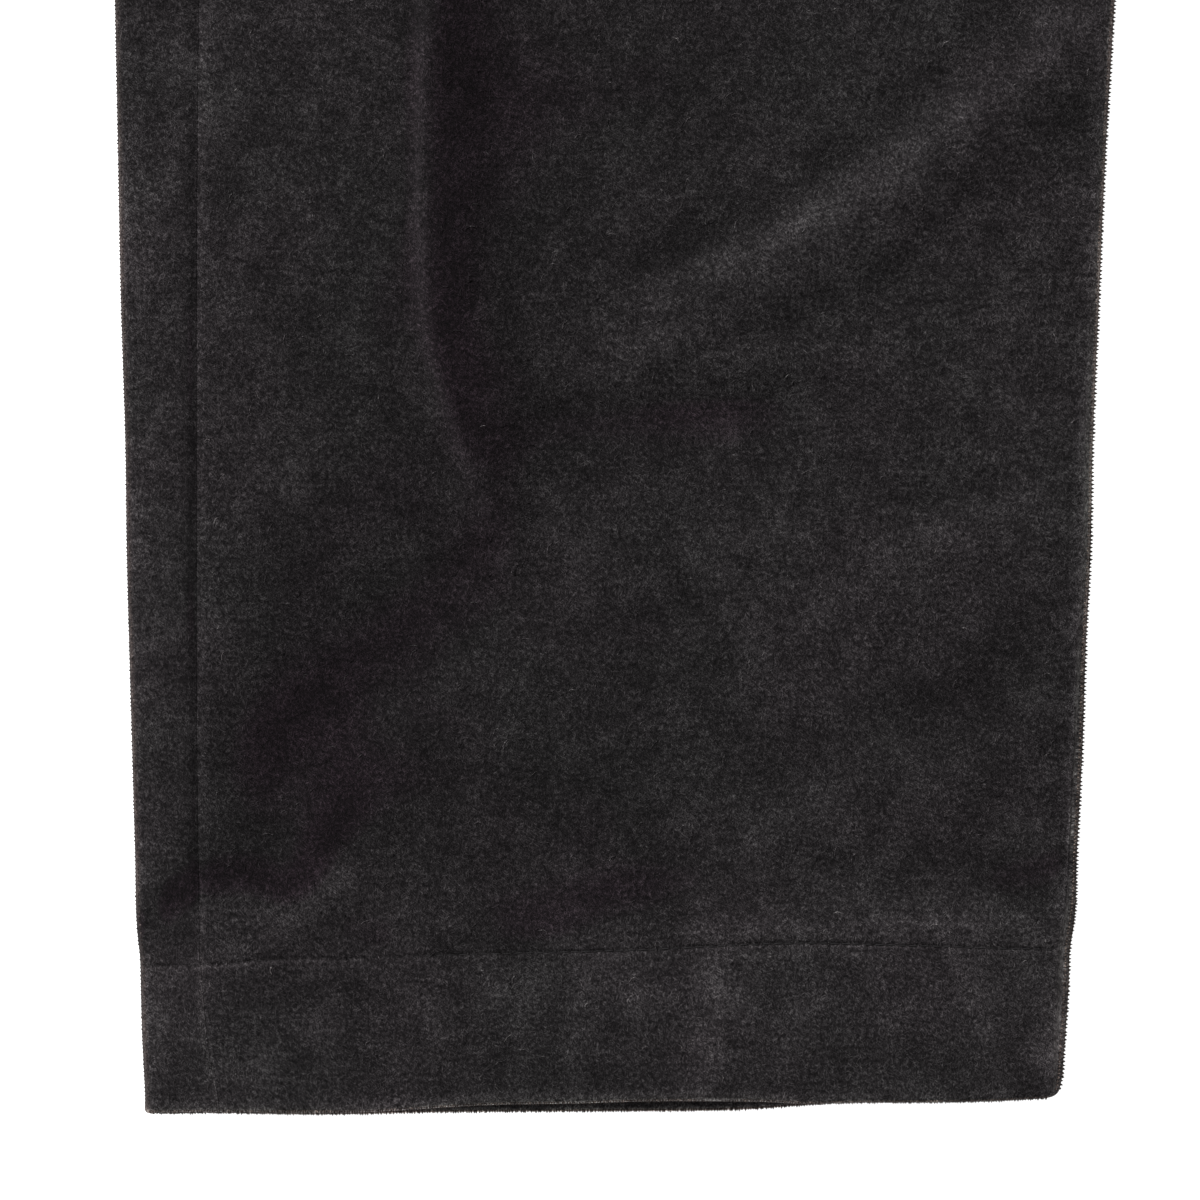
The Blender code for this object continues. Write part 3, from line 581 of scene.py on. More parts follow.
    PaintedLight(-0.12, 6, 6, ((-229, 85), (-227, 69))),
    PaintedLight(0.14, 6, 6, ((-134, 78), (-121, 73), (-108, 82))),
    PaintedLight(0.12, 6, 6, ((-112, 122), (-106, 114))),
    PaintedLight(0.16, 6, 6, ((-69, 162), (-71, 146))),
    PaintedLight(-0.10, 6, 6, ((-171, 252), (-165, 247))),
    PaintedLight(-0.10, 6, 5, ((-184, 166), (-152, 166), (-124, 167))),
    PaintedLight(0.12, 5, 5, ((-219, 27), (-214, 19))),
    PaintedLight(0.30, 5, 6, ((-73.5, 37), (-74, 10))),
    PaintedLight(0.14, 5, 5, ((-159, 15), (-154, 5))),
    PaintedLight(0.26, 5, 5, ((-152, 46), (-140, 44), (-141, 33))),
    PaintedLight(0.14, 6, 6, ((-134, 43), (-112, 42))),
    PaintedLight(0.15, 6, 6, ((-171, 33), (-158, 30))),
    PaintedLight(0.18, 5, 5, ((-146, 36), (-143, 20))),
    PaintedLight(-0.14, 4, 4, ((-290, 27), (-290, 15))),
    PaintedLight(0.10, 5, 5, ((-100, 12), (-91, 8))),
    PaintedLight(-0.10, 6, 6, ((-156, 156), (-150, 142), (-143, 122))),
    # right thigh and hip
    PaintedLight(-0.30, 9, 9, ((-86, 440), (-134, 424), (-180, 398))),
    PaintedLight(-0.35, 8, 8, ((-222, 690), (-240, 640), (-247, 570), (-248, 510))),
    PaintedLight(-0.25, 8, 8, ((-30, 728), (-80, 720), (-130, 704))),
    PaintedLight(0.15, 20, 20, ((-120, 620), (-180, 560), (-210, 480))),
    PaintedLight(-0.14, 22, 22, ((-60, 520), (-110, 540), (-150, 610))),
    # left leg
    PaintedLight(-0.45, 6, 6, ((212, 160), (222, 190), (225, 230), (224, 290), (220, 350))),
    PaintedLight(-0.30, 8, 8, ((186, 138), (210, 118), (234, 98), (246, 76))),
    PaintedLight(0.20, 3.4, 3.4, ((58, 250), (92, 230), (124, 204), (150, 184))),
    PaintedLight(0.14, 16, 16, ((300, 20), (200, 22), (70, 24))),
    PaintedLight(0.10, 16, 16, ((100, 140), (150, 150), (180, 170))),
    PaintedLight(-0.15, 14, 14, ((90, 100), (120, 90), (150, 86))),
    PaintedLight(-0.30, 8, 8, ((76, 402), (120, 418), (166, 436))),
    PaintedLight(0.15, 18, 18, ((120, 500), (170, 560), (200, 640))),
    PaintedLight(-0.25, 8, 8, ((30, 726), (80, 716), (134, 692))),
)

print(len(PAINTED_LIGHT), "patches of nap")

# %% The painted light and shade at a place
DARKEST_PAINTED_SHADE, PALEST_PAINTED_LIGHT = -0.85, 4.0


def nap_at(x, height):
    """The share by which the colour is painted paler or darker at these places."""
    return limited(sum(fold_height(patch, x, height) for patch in PAINTED_LIGHT) / MM, DARKEST_PAINTED_SHADE, PALEST_PAINTED_LIGHT)


# Painted shade in the long valley beside the right shin's ridge.
valley_painted_shade = float(nap_at(np.array([-215 * MM]), np.array([230 * MM]))[0])
print("the long valley's nap is darker by", round(-100 * valley_painted_shade), "%")

# %% [markdown]
# ## The skin of a panel
#
# A leg's section is a flattened tube. Its front starts at the inside-leg seam, rolls over the
# inner edge and crosses the top to the side seam. Its back takes up there, rolls over the outer
# edge and lies flat underneath. The skin is worked out as rows of points, one row for each
# height. At the hem the rows go on round the fold and up inside, so the hem is really turned.
# The cloth is pulled in a little along every seam and every row of stitches.

# %% Seams, the lap and the upper layer's level
SEAM_DIP = 0.30 * MM
SEAM_DIP_WIDTH = 0.95 * MM
STITCH_DIP = 0.24 * MM
STITCH_DIP_WIDTH = 0.6 * MM


def lap_lift(side, across, height):
    """The left side is lifted over the right one, and comes down beyond the lap."""
    if side < 0:
        return np.zeros_like(across)
    formed = eased(height, FLY_BOTTOM - FLY_FORMS, FLY_BOTTOM)
    return LAP_LIFT * formed * (1 - eased(across, LAP_LEVEL_TO, LAP_DOWN_BY))


def pulled_in(distance, depth, width):
    return -depth * np.exp(-((distance / width) ** 2))


def near_seam(distance):
    return pulled_in(distance, SEAM_DIP, SEAM_DIP_WIDTH)


def top_level(side, across, height):
    """The level of the upper layer's skin, with its folds, its lap and its pulled-in hem."""
    level = thickness_at(height) + lift_at(side, across, height) + lap_lift(side, across, height)
    return level + pulled_in(height - HEM_DEPTH, STITCH_DIP, STITCH_DIP_WIDTH)


print("a seam draws the cloth in by", round(SEAM_DIP / MM, 2), "mm")

# %% Places across a panel
ENDS_REACH = 6 * MM
ENDS_GROWTH = 1.35


def evenly(low, high, step):
    """Places from low to high, about a step apart."""
    return list(np.linspace(low, high, max(2, round((high - low) / step) + 1)))


def dense_ends(width, middle, first=0.5 * MM):
    """Places from 0 to width, close together at both ends, with the middle ones as given."""
    half = [0.0]
    step = first
    while half[-1] < ENDS_REACH:
        half.append(half[-1] + step)
        step *= ENDS_GROWTH
    ends = np.array(half)
    past_ends = ends[-1] + 0.5 * MM
    inner = [place for place in middle if past_ends < place < width - past_ends]
    return np.concatenate([ends, inner, width - ends[::-1]])


def spread_row(low, high, template):
    """The template's places, stretched between low and high."""
    share = (template - template[0]) / (template[-1] - template[0])
    return mix(low[:, None], high[:, None], share[None, :])


# %% Rounded edges
Skin = namedtuple("Skin", "across level out_across out_up")
ARC_STEPS = 10


def arc(centre_across, radius, angle, inward):
    """Points on a rounded edge. inward is -1 for a leg's inner edge and 1 for its outer edge."""
    return Skin(*np.broadcast_arrays(
        centre_across + inward * radius * np.cos(angle),
        radius * (1 + np.sin(angle)),
        inward * np.cos(angle),
        np.sin(angle),
    ))


def joined(parts):
    return Skin(*(np.concatenate(column, axis=1) for column in zip(*parts)))


def flat_part(across, level, up):
    return Skin(across, np.broadcast_to(level, across.shape), np.zeros_like(across), np.full_like(across, up))


def opened(skin, centre, flat_level, wrap):
    """Above the crotch a rounded inner edge opens out to a flat one at the centre seam."""
    flat_out = 1.0 if flat_level.max() > 0 else -1.0
    out_across, out_up = wrap * skin.out_across, mix(flat_out, skin.out_up, wrap)
    size = np.hypot(out_across, out_up)
    return Skin(
        mix(centre, skin.across, wrap),
        mix(flat_level, skin.level, wrap),
        out_across / size,
        out_up / size,
    )


def inner_edge(heights, angles, centre, flat_level):
    radius = thickness_at(heights)[:, None] / 2
    narrowed = eased(heights, CROTCH - CROTCH_NARROWS, CROTCH)[:, None]
    rounding = mix(radius, SEAM_GAP, narrowed)
    inner = np.maximum(outline_at(heights, "inner"), SEAM_GAP / 2)[:, None]
    across = inner + rounding * (1 - np.cos(angles))
    skin = Skin(across, radius * (1 + np.sin(angles)), -np.cos(angles), np.sin(angles))
    wrap = 1 - eased(heights, CROTCH, CROTCH + CROTCH_POINT)[:, None]
    return opened(skin, centre, flat_level, wrap), (inner + rounding)[:, 0], wrap[:, 0]


def centre_edge(side, heights):
    reach = LAP_OVER if side > 0 else LAP_UNDER
    return mix(SEAM_GAP / 2, -reach, eased(heights, FLY_BOTTOM, FLY_BOTTOM + FLY_FORMS))


print("a rounded edge has", ARC_STEPS, "steps on each side of its seam")

# %% Rows of a front
CENTRE_STEP = 1.2 * MM
TOP_WIDTH = 210 * MM
RIDGE_FROM, RIDGE_TO = 143 * MM, 168 * MM
TOP_MIDDLE = (
    evenly(0, RIDGE_FROM, 2.0 * MM)
    + evenly(RIDGE_FROM + MM, RIDGE_TO - MM, 1.0 * MM)
    + evenly(RIDGE_TO, TOP_WIDTH, 2.0 * MM)
)
TOP_TEMPLATE = dense_ends(TOP_WIDTH, TOP_MIDDLE)
print("a front has", len(TOP_TEMPLATE), "places across its top")


def front_skin(side, heights):
    """A front's rows, from the inside-leg seam or the centre front to the side seam."""
    radius = thickness_at(heights) / 2
    seam_angle = outline_at(heights, "inseam") / radius
    edge = centre_edge(side, heights)
    steps = np.arange(ARC_STEPS)
    angles = mix(seam_angle[:, None] + SEAM_GAP / 2 / radius[:, None], math.pi / 2, steps / ARC_STEPS)
    centre = edge[:, None] + CENTRE_STEP * steps
    rolled, rolled_to, wrap = inner_edge(heights, angles, centre, 2 * radius[:, None])
    start = mix(edge + CENTRE_STEP * ARC_STEPS, rolled_to, wrap)
    end = outline_at(heights, "outseam") - SEAM_GAP / 2
    across = spread_row(start, end, TOP_TEMPLATE)
    skin = joined([rolled, flat_part(across, 2 * radius[:, None], 1.0)])
    from_inseam = (angles - seam_angle[:, None]) * radius[:, None] * wrap[:, None]
    from_inseam = from_inseam + (centre - edge[:, None]) * (1 - wrap[:, None])
    from_start = from_inseam[:, -1:] + CENTRE_STEP + (across - start[:, None])
    from_outseam = end[:, None] - skin.across
    from_outseam[:, :ARC_STEPS] = 1.0
    return skin, np.concatenate([from_inseam, from_start], axis=1), from_outseam


# %% Rows of a back
STRIP_TEMPLATE = dense_ends(17 * MM, [7.5 * MM, 9.5 * MM])
UNDER_TEMPLATE = np.linspace(0, 1, 22)
print("a back has", len(STRIP_TEMPLATE), "places beside its seam and", len(UNDER_TEMPLATE), "underneath")


def back_skin(_side, heights):
    """A back's rows: over the outer edge and along the underside to the inside-leg seam."""
    radius = thickness_at(heights) / 2
    top = 2 * radius[:, None]
    strip_start = outline_at(heights, "outseam") + SEAM_GAP / 2
    turn_centre = outline_at(heights, "outer") - radius
    across = spread_row(strip_start, turn_centre, STRIP_TEMPLATE)
    strip = flat_part(across[:, :-1], top, 1.0)
    angles = math.pi * (0.5 - np.arange(2 * ARC_STEPS + 1) / (2 * ARC_STEPS))[None, :]
    turn = arc(turn_centre[:, None], radius[:, None], angles, 1)
    seam_angle = outline_at(heights, "inseam") / radius
    steps = np.arange(ARC_STEPS + 1)
    last_angle = seam_angle[:, None] - SEAM_GAP / 2 / radius[:, None]
    rolled_angles = mix(-math.pi / 2, last_angle, steps / ARC_STEPS)
    centre = SEAM_GAP / 2 + CENTRE_STEP * (ARC_STEPS - steps)
    centre = np.broadcast_to(centre, rolled_angles.shape)
    rolled, rolled_to, wrap = inner_edge(heights, rolled_angles, centre, 0 * top)
    end = mix(SEAM_GAP / 2 + CENTRE_STEP * ARC_STEPS, rolled_to, wrap)
    under = mix(turn_centre[:, None], end[:, None], UNDER_TEMPLATE[None, 1:-1])
    skin = joined([strip, turn, flat_part(under, 0 * top, -1.0), rolled])
    from_outseam = np.full(skin.across.shape, 1.0)
    from_outseam[:, : strip.across.shape[1]] = strip.across - strip_start[:, None]
    from_inseam = np.full(skin.across.shape, 1.0)
    from_inseam[:, -(ARC_STEPS + 1):] = (seam_angle[:, None] - rolled_angles) * radius[:, None]
    from_inseam = mix(1.0, from_inseam, wrap[:, None])
    return skin, from_inseam, from_outseam


# %% [markdown]
# ## From rows of points to a sheet of cloth
#
# The rows become a grid of faces, and Solidify gives the grid the cloth's thickness on its inner
# side. Each row also has a depth, which is how far it lies inside the outer skin: 0 on the
# outside of the leg, and two layers down on the turned-up part of the hem.

# %% Painted rim light beside the edges
# Painted rim light beside the edges: the share by which the colour is painted paler, at distances in mm
# inside the edge, on the side that faces the key light, on the side turned from it at the hem, the shin and
# the leg, and at the lower edge of the hem's front and back layers.
EdgePaintedLight = namedtuple(
    "EdgePaintedLight", "inside lit_hem lit_leg shade_hem shade_shin shade_leg front_hem back_hem"
)
EDGE_PAINTED_LIGHT = (
    EdgePaintedLight(0.00, 0.15, 0.65, 4.2, 4.4, 6.0, 9.0, 20.0),
    EdgePaintedLight(0.25, 0.10, 0.65, 3.6, 3.8, 6.6, 14.0, 12.0),
    EdgePaintedLight(0.50, 0.05, 0.58, 2.2, 3.0, 7.2, 10.0, 5.6),
    EdgePaintedLight(0.75, 0.00, 0.50, 1.6, 3.4, 8.2, 4.0, 2.4),
    EdgePaintedLight(1.00, 0.00, 0.42, 3.2, 4.6, 6.6, 2.2, 2.1),
    EdgePaintedLight(1.25, 0.00, 0.38, 8.0, 5.8, 4.6, 1.6, 1.6),
    EdgePaintedLight(1.50, 0.00, 0.40, 12.5, 4.8, 2.6, 1.2, 1.0),
    EdgePaintedLight(2.00, 0.10, 0.52, 7.5, 3.4, 1.3, 0.8, 0.4),
    EdgePaintedLight(2.50, 0.25, 0.55, 3.2, 1.5, 0.8, 0.45, 0.2),
    EdgePaintedLight(3.00, 0.38, 0.54, 1.6, 0.6, 0.5, 0.22, 0.0),
    EdgePaintedLight(3.70, 0.38, 0.42, 0.9, 0.2, 0.3, 0.08, 0.0),
    EdgePaintedLight(4.50, 0.45, 0.45, 0.6, 0.1, 0.2, 0.0, 0.0),
    EdgePaintedLight(5.50, 0.40, 0.28, 0.3, 0.0, 0.0, 0.0, 0.0),
    EdgePaintedLight(7.00, 0.00, 0.00, 0.0, 0.0, 0.0, 0.0, 0.0),
)
EDGE_PAINTED_LIGHT_CHANGES = (42 * MM, 60 * MM)
# How far in the warm tint of the painted rim light reaches: on the lit side, on the side in shade, and on the
# hem's back layer.
LIT_WARMTH, SHADE_WARMTH, HEM_WARMTH = 2.0 * MM, 1.0 * MM, 0.7 * MM
# How dark and how wide the painted shade along the hem's stitches is.
STITCH_PAINTED_SHADE = -0.36
STITCH_PAINTED_SHADE_WIDTH = 0.32 * MM
INSEAM_DIP_SHARE = 0.3
HEM_SEAM_DIP_SHARE = 0.0


def edge_nap(inside, column):
    """A column of the edges' painted light, read at these distances from the edge."""
    at = [row.inside * MM for row in EDGE_PAINTED_LIGHT]
    return np.interp(inside, at, [getattr(row, column) for row in EDGE_PAINTED_LIGHT], right=0.0)


def nap_beside(inside, height, lit):
    """The painted light beside a leg's edge, which changes from the hem to the shin and above it."""
    past_hem = eased(height, *EDGE_PAINTED_LIGHT_CHANGES)
    if lit:
        return mix(edge_nap(inside, "lit_hem"), edge_nap(inside, "lit_leg"), past_hem)
    hem = edge_nap(inside, "shade_hem") * mix(0.35, 1.0, eased(height, 3 * MM, 14 * MM))
    above_stitches = eased(height, 40 * MM, 48 * MM) * (1 - eased(height, 60 * MM, 74 * MM))
    shin = mix(hem, edge_nap(inside, "shade_shin"), past_hem) * (1 - 0.4 * above_stitches)
    leg = edge_nap(inside, "shade_leg") * mix(1.25, 0.8, eased(height, 160 * MM, 240 * MM))
    return mix(shin, leg, eased(height, 98 * MM, 130 * MM))


def stitches_show(share):
    """The hem's stitches sink into the nap near the outer edge and show near the inner one."""
    return mix(0.2, 1.0, eased(share, 0.2, 0.55))


def nap_at_edges(side, across, height, on_top):
    """How much painted rim light and warm tint the cloth gets at its edges, with painted shade at the
    stitches.
    """
    from_outer = outline_at(height, "outer") - across
    from_inner = np.where(height < CROTCH, across - outline_at(height, "inner"), 1.0)
    nap = np.maximum(nap_beside(from_outer, height, side < 0), nap_beside(from_inner, height, side > 0))
    hem = np.where(on_top, edge_nap(height, "front_hem"), edge_nap(height, "back_hem"))
    hem = hem * read_table(HEM_RUN, "rim", "share", share_across(across, height))
    # The warm tint of the painted rim light, beside the edges and on the hem's back layer.
    warmths = (LIT_WARMTH, SHADE_WARMTH)[::-side]
    warm = np.maximum(1 - eased(from_outer, 0, warmths[0]), 1 - eased(from_inner, 0, warmths[1]))
    warm = np.maximum(warm, np.where(on_top, 0.0, 1 - eased(height, 0, HEM_WARMTH)))
    # Painted shade along the hem's stitches, where they show.
    shown = on_top * (nap < 0.5) * stitches_show(share_across(across, height))
    stitch_painted_shade = STITCH_PAINTED_SHADE * shown * np.exp(-(((height - HEM_DEPTH) / STITCH_PAINTED_SHADE_WIDTH) ** 2))
    return np.maximum(nap, hem) + stitch_painted_shade, warm


# The painted rim light reaches this far in from an edge.
print("the nap changes up to", EDGE_PAINTED_LIGHT[-1].inside, "mm in from an edge")

# %% Rows up a panel
Row = namedtuple("Row", "height depth")


def turned_rows(edge, inward, from_height, first_step, growth, longest, depth_of_turn):
    """Rows from the raw edge inside, round a turned edge, and away from it on the outside."""
    angles = np.linspace(math.pi, 0, 11)
    turn = [
        Row(edge + inward * turn_radius * (1 - math.sin(a)), turn_radius * (1 - math.cos(a)))
        for a in angles
    ]
    inside = [Row(edge + inward * h, 2 * turn_radius) for h in depth_of_turn]
    rows = inside + turn
    height, step = edge + inward * turn_radius, first_step
    while (from_height - height) * inward > step:
        height += inward * step
        rows.append(Row(height, 0.0))
        step = min(longest, step * growth)
    return rows


def leg_rows():
    """Close rows at the hem and at its stitches, 1.9 mm apart in the shin, wider above it."""
    inside = [h * MM for h in (36, 30, 24, 18, 12, 7, 4)]
    rows = turned_rows(0.0, 1, 33 * MM, 0.5 * MM, 1.4, 1.9 * MM, inside)
    stitches = evenly(33.6 * MM, 39.6 * MM, 0.3 * MM) + evenly(40.3 * MM, 50 * MM, 1.0 * MM)
    shin = evenly(51.5 * MM, 290 * MM, 1.9 * MM)
    above = evenly(294 * MM, 740 * MM, 5 * MM)
    crotch = evenly(742 * MM, 772 * MM, 2 * MM)
    hip = evenly(776 * MM, 985 * MM, 5 * MM)
    waist = evenly(987 * MM, WAIST_SEAM - SEAM_GAP / 2, 0.8 * MM)
    return rows + [Row(h, 0.0) for h in stitches + shin + above + crotch + hip + waist]


print(len(leg_rows()), "rows from the turned hem to the waist")

# %% Points of a sheet
PATTERN_WIDENS = (300 * MM, 420 * MM)


def sheet_points(side, rows, skin_of):
    """The grid of points of a sheet, and its flat pattern as a second grid, both in metres."""
    heights = np.array([row.height for row in rows])
    depths = np.array([row.depth for row in rows])[:, None]
    skin, from_inseam, from_outseam = skin_of(side, heights)
    high = np.broadcast_to(heights[:, None], skin.across.shape)
    on_top = skin.level > thickness_at(high) / 2
    flat_top = skin.out_up > 0.999
    raised = top_level(side, skin.across, high) - thickness_at(high)
    level = skin.level + np.where(flat_top, raised, 0.0)
    y = high + hem_offset(skin.across, high, on_top) + waist_offset(skin.across, high, on_top)
    on_floor = skin.out_up < -0.999
    in_hem = mix(HEM_SEAM_DIP_SHARE, 1.0, eased(high, HEM_DEPTH, HEM_DEPTH + 15 * MM))
    dip = INSEAM_DIP_SHARE * near_seam(from_inseam) + in_hem * near_seam(from_outseam)
    dip = np.where(on_floor, 0.0, dip)
    waist_dip = near_seam(high - WAIST_SEAM) * (high > CROTCH)
    inset = depths - np.where(on_floor, 0.0, dip + waist_dip)
    across = skin.across - inset * skin.out_across
    level = level - inset * skin.out_up
    points = np.stack([side * across, HEM_LEVEL + y, level], axis=2)
    steps = np.linalg.norm(np.diff(points, axis=1), axis=2)
    reach = np.concatenate([np.zeros((len(rows), 1)), np.cumsum(steps, axis=1)], axis=1)
    of_shin = reach[len(rows) // 2]
    of_row = reach - reach[:, -1:] + of_shin[-1]
    along = mix(of_shin, of_row, eased(heights, *PATTERN_WIDENS)[:, None])
    down = np.linalg.norm(np.diff(points, axis=0), axis=2).mean(axis=1)
    up = np.concatenate([[0.0], np.cumsum(down)])
    pattern = np.stack([side * along, np.broadcast_to(up[:, None], along.shape)], axis=2)
    return points, pattern, nap_at_edges(side, across, high, on_top)


# %% From points to cloth
def make_mesh(name, points, faces, pattern=None, **values):
    """A mesh object, with a flat pattern for its texture and a named value at each point."""
    mesh = bpy.data.meshes.new(name)
    mesh.from_pydata(points.tolist(), [], faces)
    if pattern is not None:
        layer = mesh.uv_layers.new(name="cut")
        corners = np.empty(len(mesh.loops), np.int32)
        mesh.loops.foreach_get("vertex_index", corners)
        layer.uv.foreach_set("vector", pattern[corners].ravel().astype(np.float32))
    for key, value in values.items():
        mesh.attributes.new(key, "FLOAT", "POINT").data.foreach_set("value", value.ravel().astype(np.float32))
    piece = bpy.data.objects.new(name, mesh)
    bpy.context.scene.collection.objects.link(piece)
    return piece


def use_modifier(piece, kind, **values):
    """Adds a modifier, sets it and applies it."""
    modifier = piece.modifiers.new(kind.title(), kind)
    for key, value in values.items():
        setattr(modifier, key, value)
    bpy.context.view_layer.objects.active = piece
    bpy.ops.object.modifier_apply(modifier=modifier.name)


def cloth_sheet(name, points, pattern, at_edges, flip, thickness=CLOTH):
    """A sheet of cloth from a grid of points, given its thickness on the inner side."""
    rows, columns = points.shape[:2]
    corner = (np.arange(rows - 1)[:, None] * columns + np.arange(columns - 1)).ravel()
    quads = np.stack([corner, corner + 1, corner + columns + 1, corner + columns], axis=1)
    if flip:
        quads = quads[:, ::-1]
    # Painted light and shade on the upper layer, with the painted rim light and stitch shade at the edges.
    nap = nap_at(points[..., 0], points[..., 1] - HEM_LEVEL) * (points[..., 2] > LEG_THICK / 2)
    nap, warm = nap + at_edges[0], at_edges[1]
    piece = make_mesh(name, points.reshape(-1, 3), quads.tolist(), pattern.reshape(-1, 2), nap=nap, warm=warm)
    use_modifier(piece, "SOLIDIFY", thickness=thickness, offset=-1.0, use_rim=True)
    piece.data.shade_smooth()
    piece.data.set_sharp_from_angle(angle=math.radians(60))
    return piece


# %% [markdown]
# ## Leg fronts and backs
#
# Four panels make the legs and the seat. Each is one sheet, made from the same rows, so that the
# edges of two panels meet all along a seam. The flat size that is stated for each is that of its
# cut, turned hem included.


def hand_in(piece, node):
    """Parents a piece to the root body, and hides the imported node it stands in for, if any."""
    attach(piece, "root")
    if node:
        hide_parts(node)


cloth_pieces = {}
for word, side in (("right", -1), ("left", 1)):
    for part, skin_of in (("front", front_skin), ("back", back_skin)):
        points, pattern, at_edges = sheet_points(side, leg_rows(), skin_of)
        piece = cloth_sheet(f"{part}_{word}_cloth", points, pattern, at_edges, flip=side < 0)
        hand_in(piece, f"{part}_{word}")
        size = pattern.reshape(-1, 2).max(axis=0) - pattern.reshape(-1, 2).min(axis=0)
        cloth_pieces[piece.name] = piece
        print(piece.name, len(piece.data.polygons), "faces, cut", np.round(size, 3), "m")

# %% [markdown]
# ## Waistband
#
# The waistband is a strip folded along its top edge, so that its outside and its inside are one
# piece of cloth. It is made like the legs, with its turned edge at the top. Its rows run down
# instead of up, so its faces are turned the other way to point outwards.

# %% Waistband halves
def band_skin(side, heights):
    """The waistband's rows: those of the front and the back, without the seam between them."""
    front, _, _ = front_skin(side, heights)
    back, _, _ = back_skin(side, heights)
    skin = joined([Skin(*(c[:, :-1] for c in front)), Skin(*(c[:, 1:] for c in back))])
    from_ends = np.full(skin.across.shape, 1.0)
    return skin, from_ends, from_ends


def band_rows():
    top, bottom = WAIST_SEAM + BAND_HEIGHT, WAIST_SEAM + SEAM_GAP / 2
    inside = [38 * MM, 30 * MM, 20 * MM, 10 * MM, 5 * MM]
    rows = turned_rows(top, -1, bottom, 0.8 * MM, 1.3, 2.5 * MM, inside)
    return rows + [Row(bottom, 0.0)]


for word, side in (("right", -1), ("left", 1)):
    points, pattern, at_edges = sheet_points(side, band_rows(), band_skin)
    piece = cloth_sheet(f"waistband_{word}_cloth", points, pattern, at_edges, flip=side > 0)
    hand_in(piece, f"waistband_{word}")
    size = pattern.reshape(-1, 2).max(axis=0) - pattern.reshape(-1, 2).min(axis=0)
    cloth_pieces[piece.name] = piece
    print(piece.name, len(piece.data.polygons), "faces, cut", np.round(size, 3), "m")

# %% [markdown]
# ## Brushed cloth
#
# The cloth is almost black, with a short nap that was brushed up. Up close it is a felt of short
# fibres that catch the light in all directions, and from further off it is mottled where the
# nap lies one way or the other. A velvet shader alone would look too smooth, so several noises
# stretched in different directions stand in for the fibres, and slow ones for the mottling.

# %% Helpers for shader nodes
def node(tree, kind, place, **inputs):
    """A shader node with its values set by name."""
    made = tree.nodes.new(kind)
    made.location = place
    for key, value in inputs.items():
        if key in made.inputs:
            made.inputs[key].default_value = value
        else:
            setattr(made, key, value)
    return made


def linked(tree, source, output, target, socket):
    tree.links.new(source.outputs[output], target.inputs[socket])


def ranged(tree, place, low, high):
    """A Map Range node from low and high to 0 and 1."""
    made = node(tree, "ShaderNodeMapRange", place)
    made.inputs["From Min"].default_value = low
    made.inputs["From Max"].default_value = high
    return made


def maths(tree, operation, place, *values):
    """A Math node. A value is a number or another node's output."""
    made = node(tree, "ShaderNodeMath", place, operation=operation)
    for socket, value in zip(made.inputs, values):
        if isinstance(value, (int, float)):
            socket.default_value = value
        else:
            tree.links.new(value, socket)
    return made.outputs[0]


# %% Fibres and shares of tone
Fibre = namedtuple("Fibre", "turn length width")
FIBRES = (
    Fibre(80, 1.3, 0.25),
    Fibre(28, 1.1, 0.22),
    Fibre(-34, 1.2, 0.24),
    Fibre(120, 0.9, 0.21),
)
FIBRE_SHARPNESS = (0.46, 0.74)
FIBRE_SHARE = 0.84
FLECK_SHARE = 0.85
MOTTLE_SHARE = 0.70
DRIFT_SHARE = 0.18
BAND_SHARE = 0.22
MIDDLE_TONE = 0.052
print(len(FIBRES), "directions of fibres,", [fibre.length for fibre in FIBRES], "mm long")


def fibre_layer(tree, coords, fibre, seed, place):
    """Noise stretched along one direction, which looks like short fibres lying that way."""
    mapping = node(tree, "ShaderNodeMapping", place)
    mapping.vector_type = "TEXTURE"
    mapping.inputs["Rotation"].default_value = (0, 0, math.radians(fibre.turn))
    mapping.inputs["Scale"].default_value = (fibre.length * MM, fibre.width * MM, fibre.width * MM)
    mapping.inputs["Location"].default_value = (seed * 0.013, seed * 0.007, 0)
    beside = (place[0] + 180, place[1])
    noise = node(tree, "ShaderNodeTexNoise", beside, Scale=1.0, Detail=1.0, Roughness=0.5)
    tree.links.new(coords, mapping.inputs["Vector"])
    linked(tree, mapping, "Vector", noise, "Vector")
    sharp = ranged(tree, (place[0] + 360, place[1]), *FIBRE_SHARPNESS)
    linked(tree, noise, "Fac", sharp, "Value")
    return sharp.outputs[0]


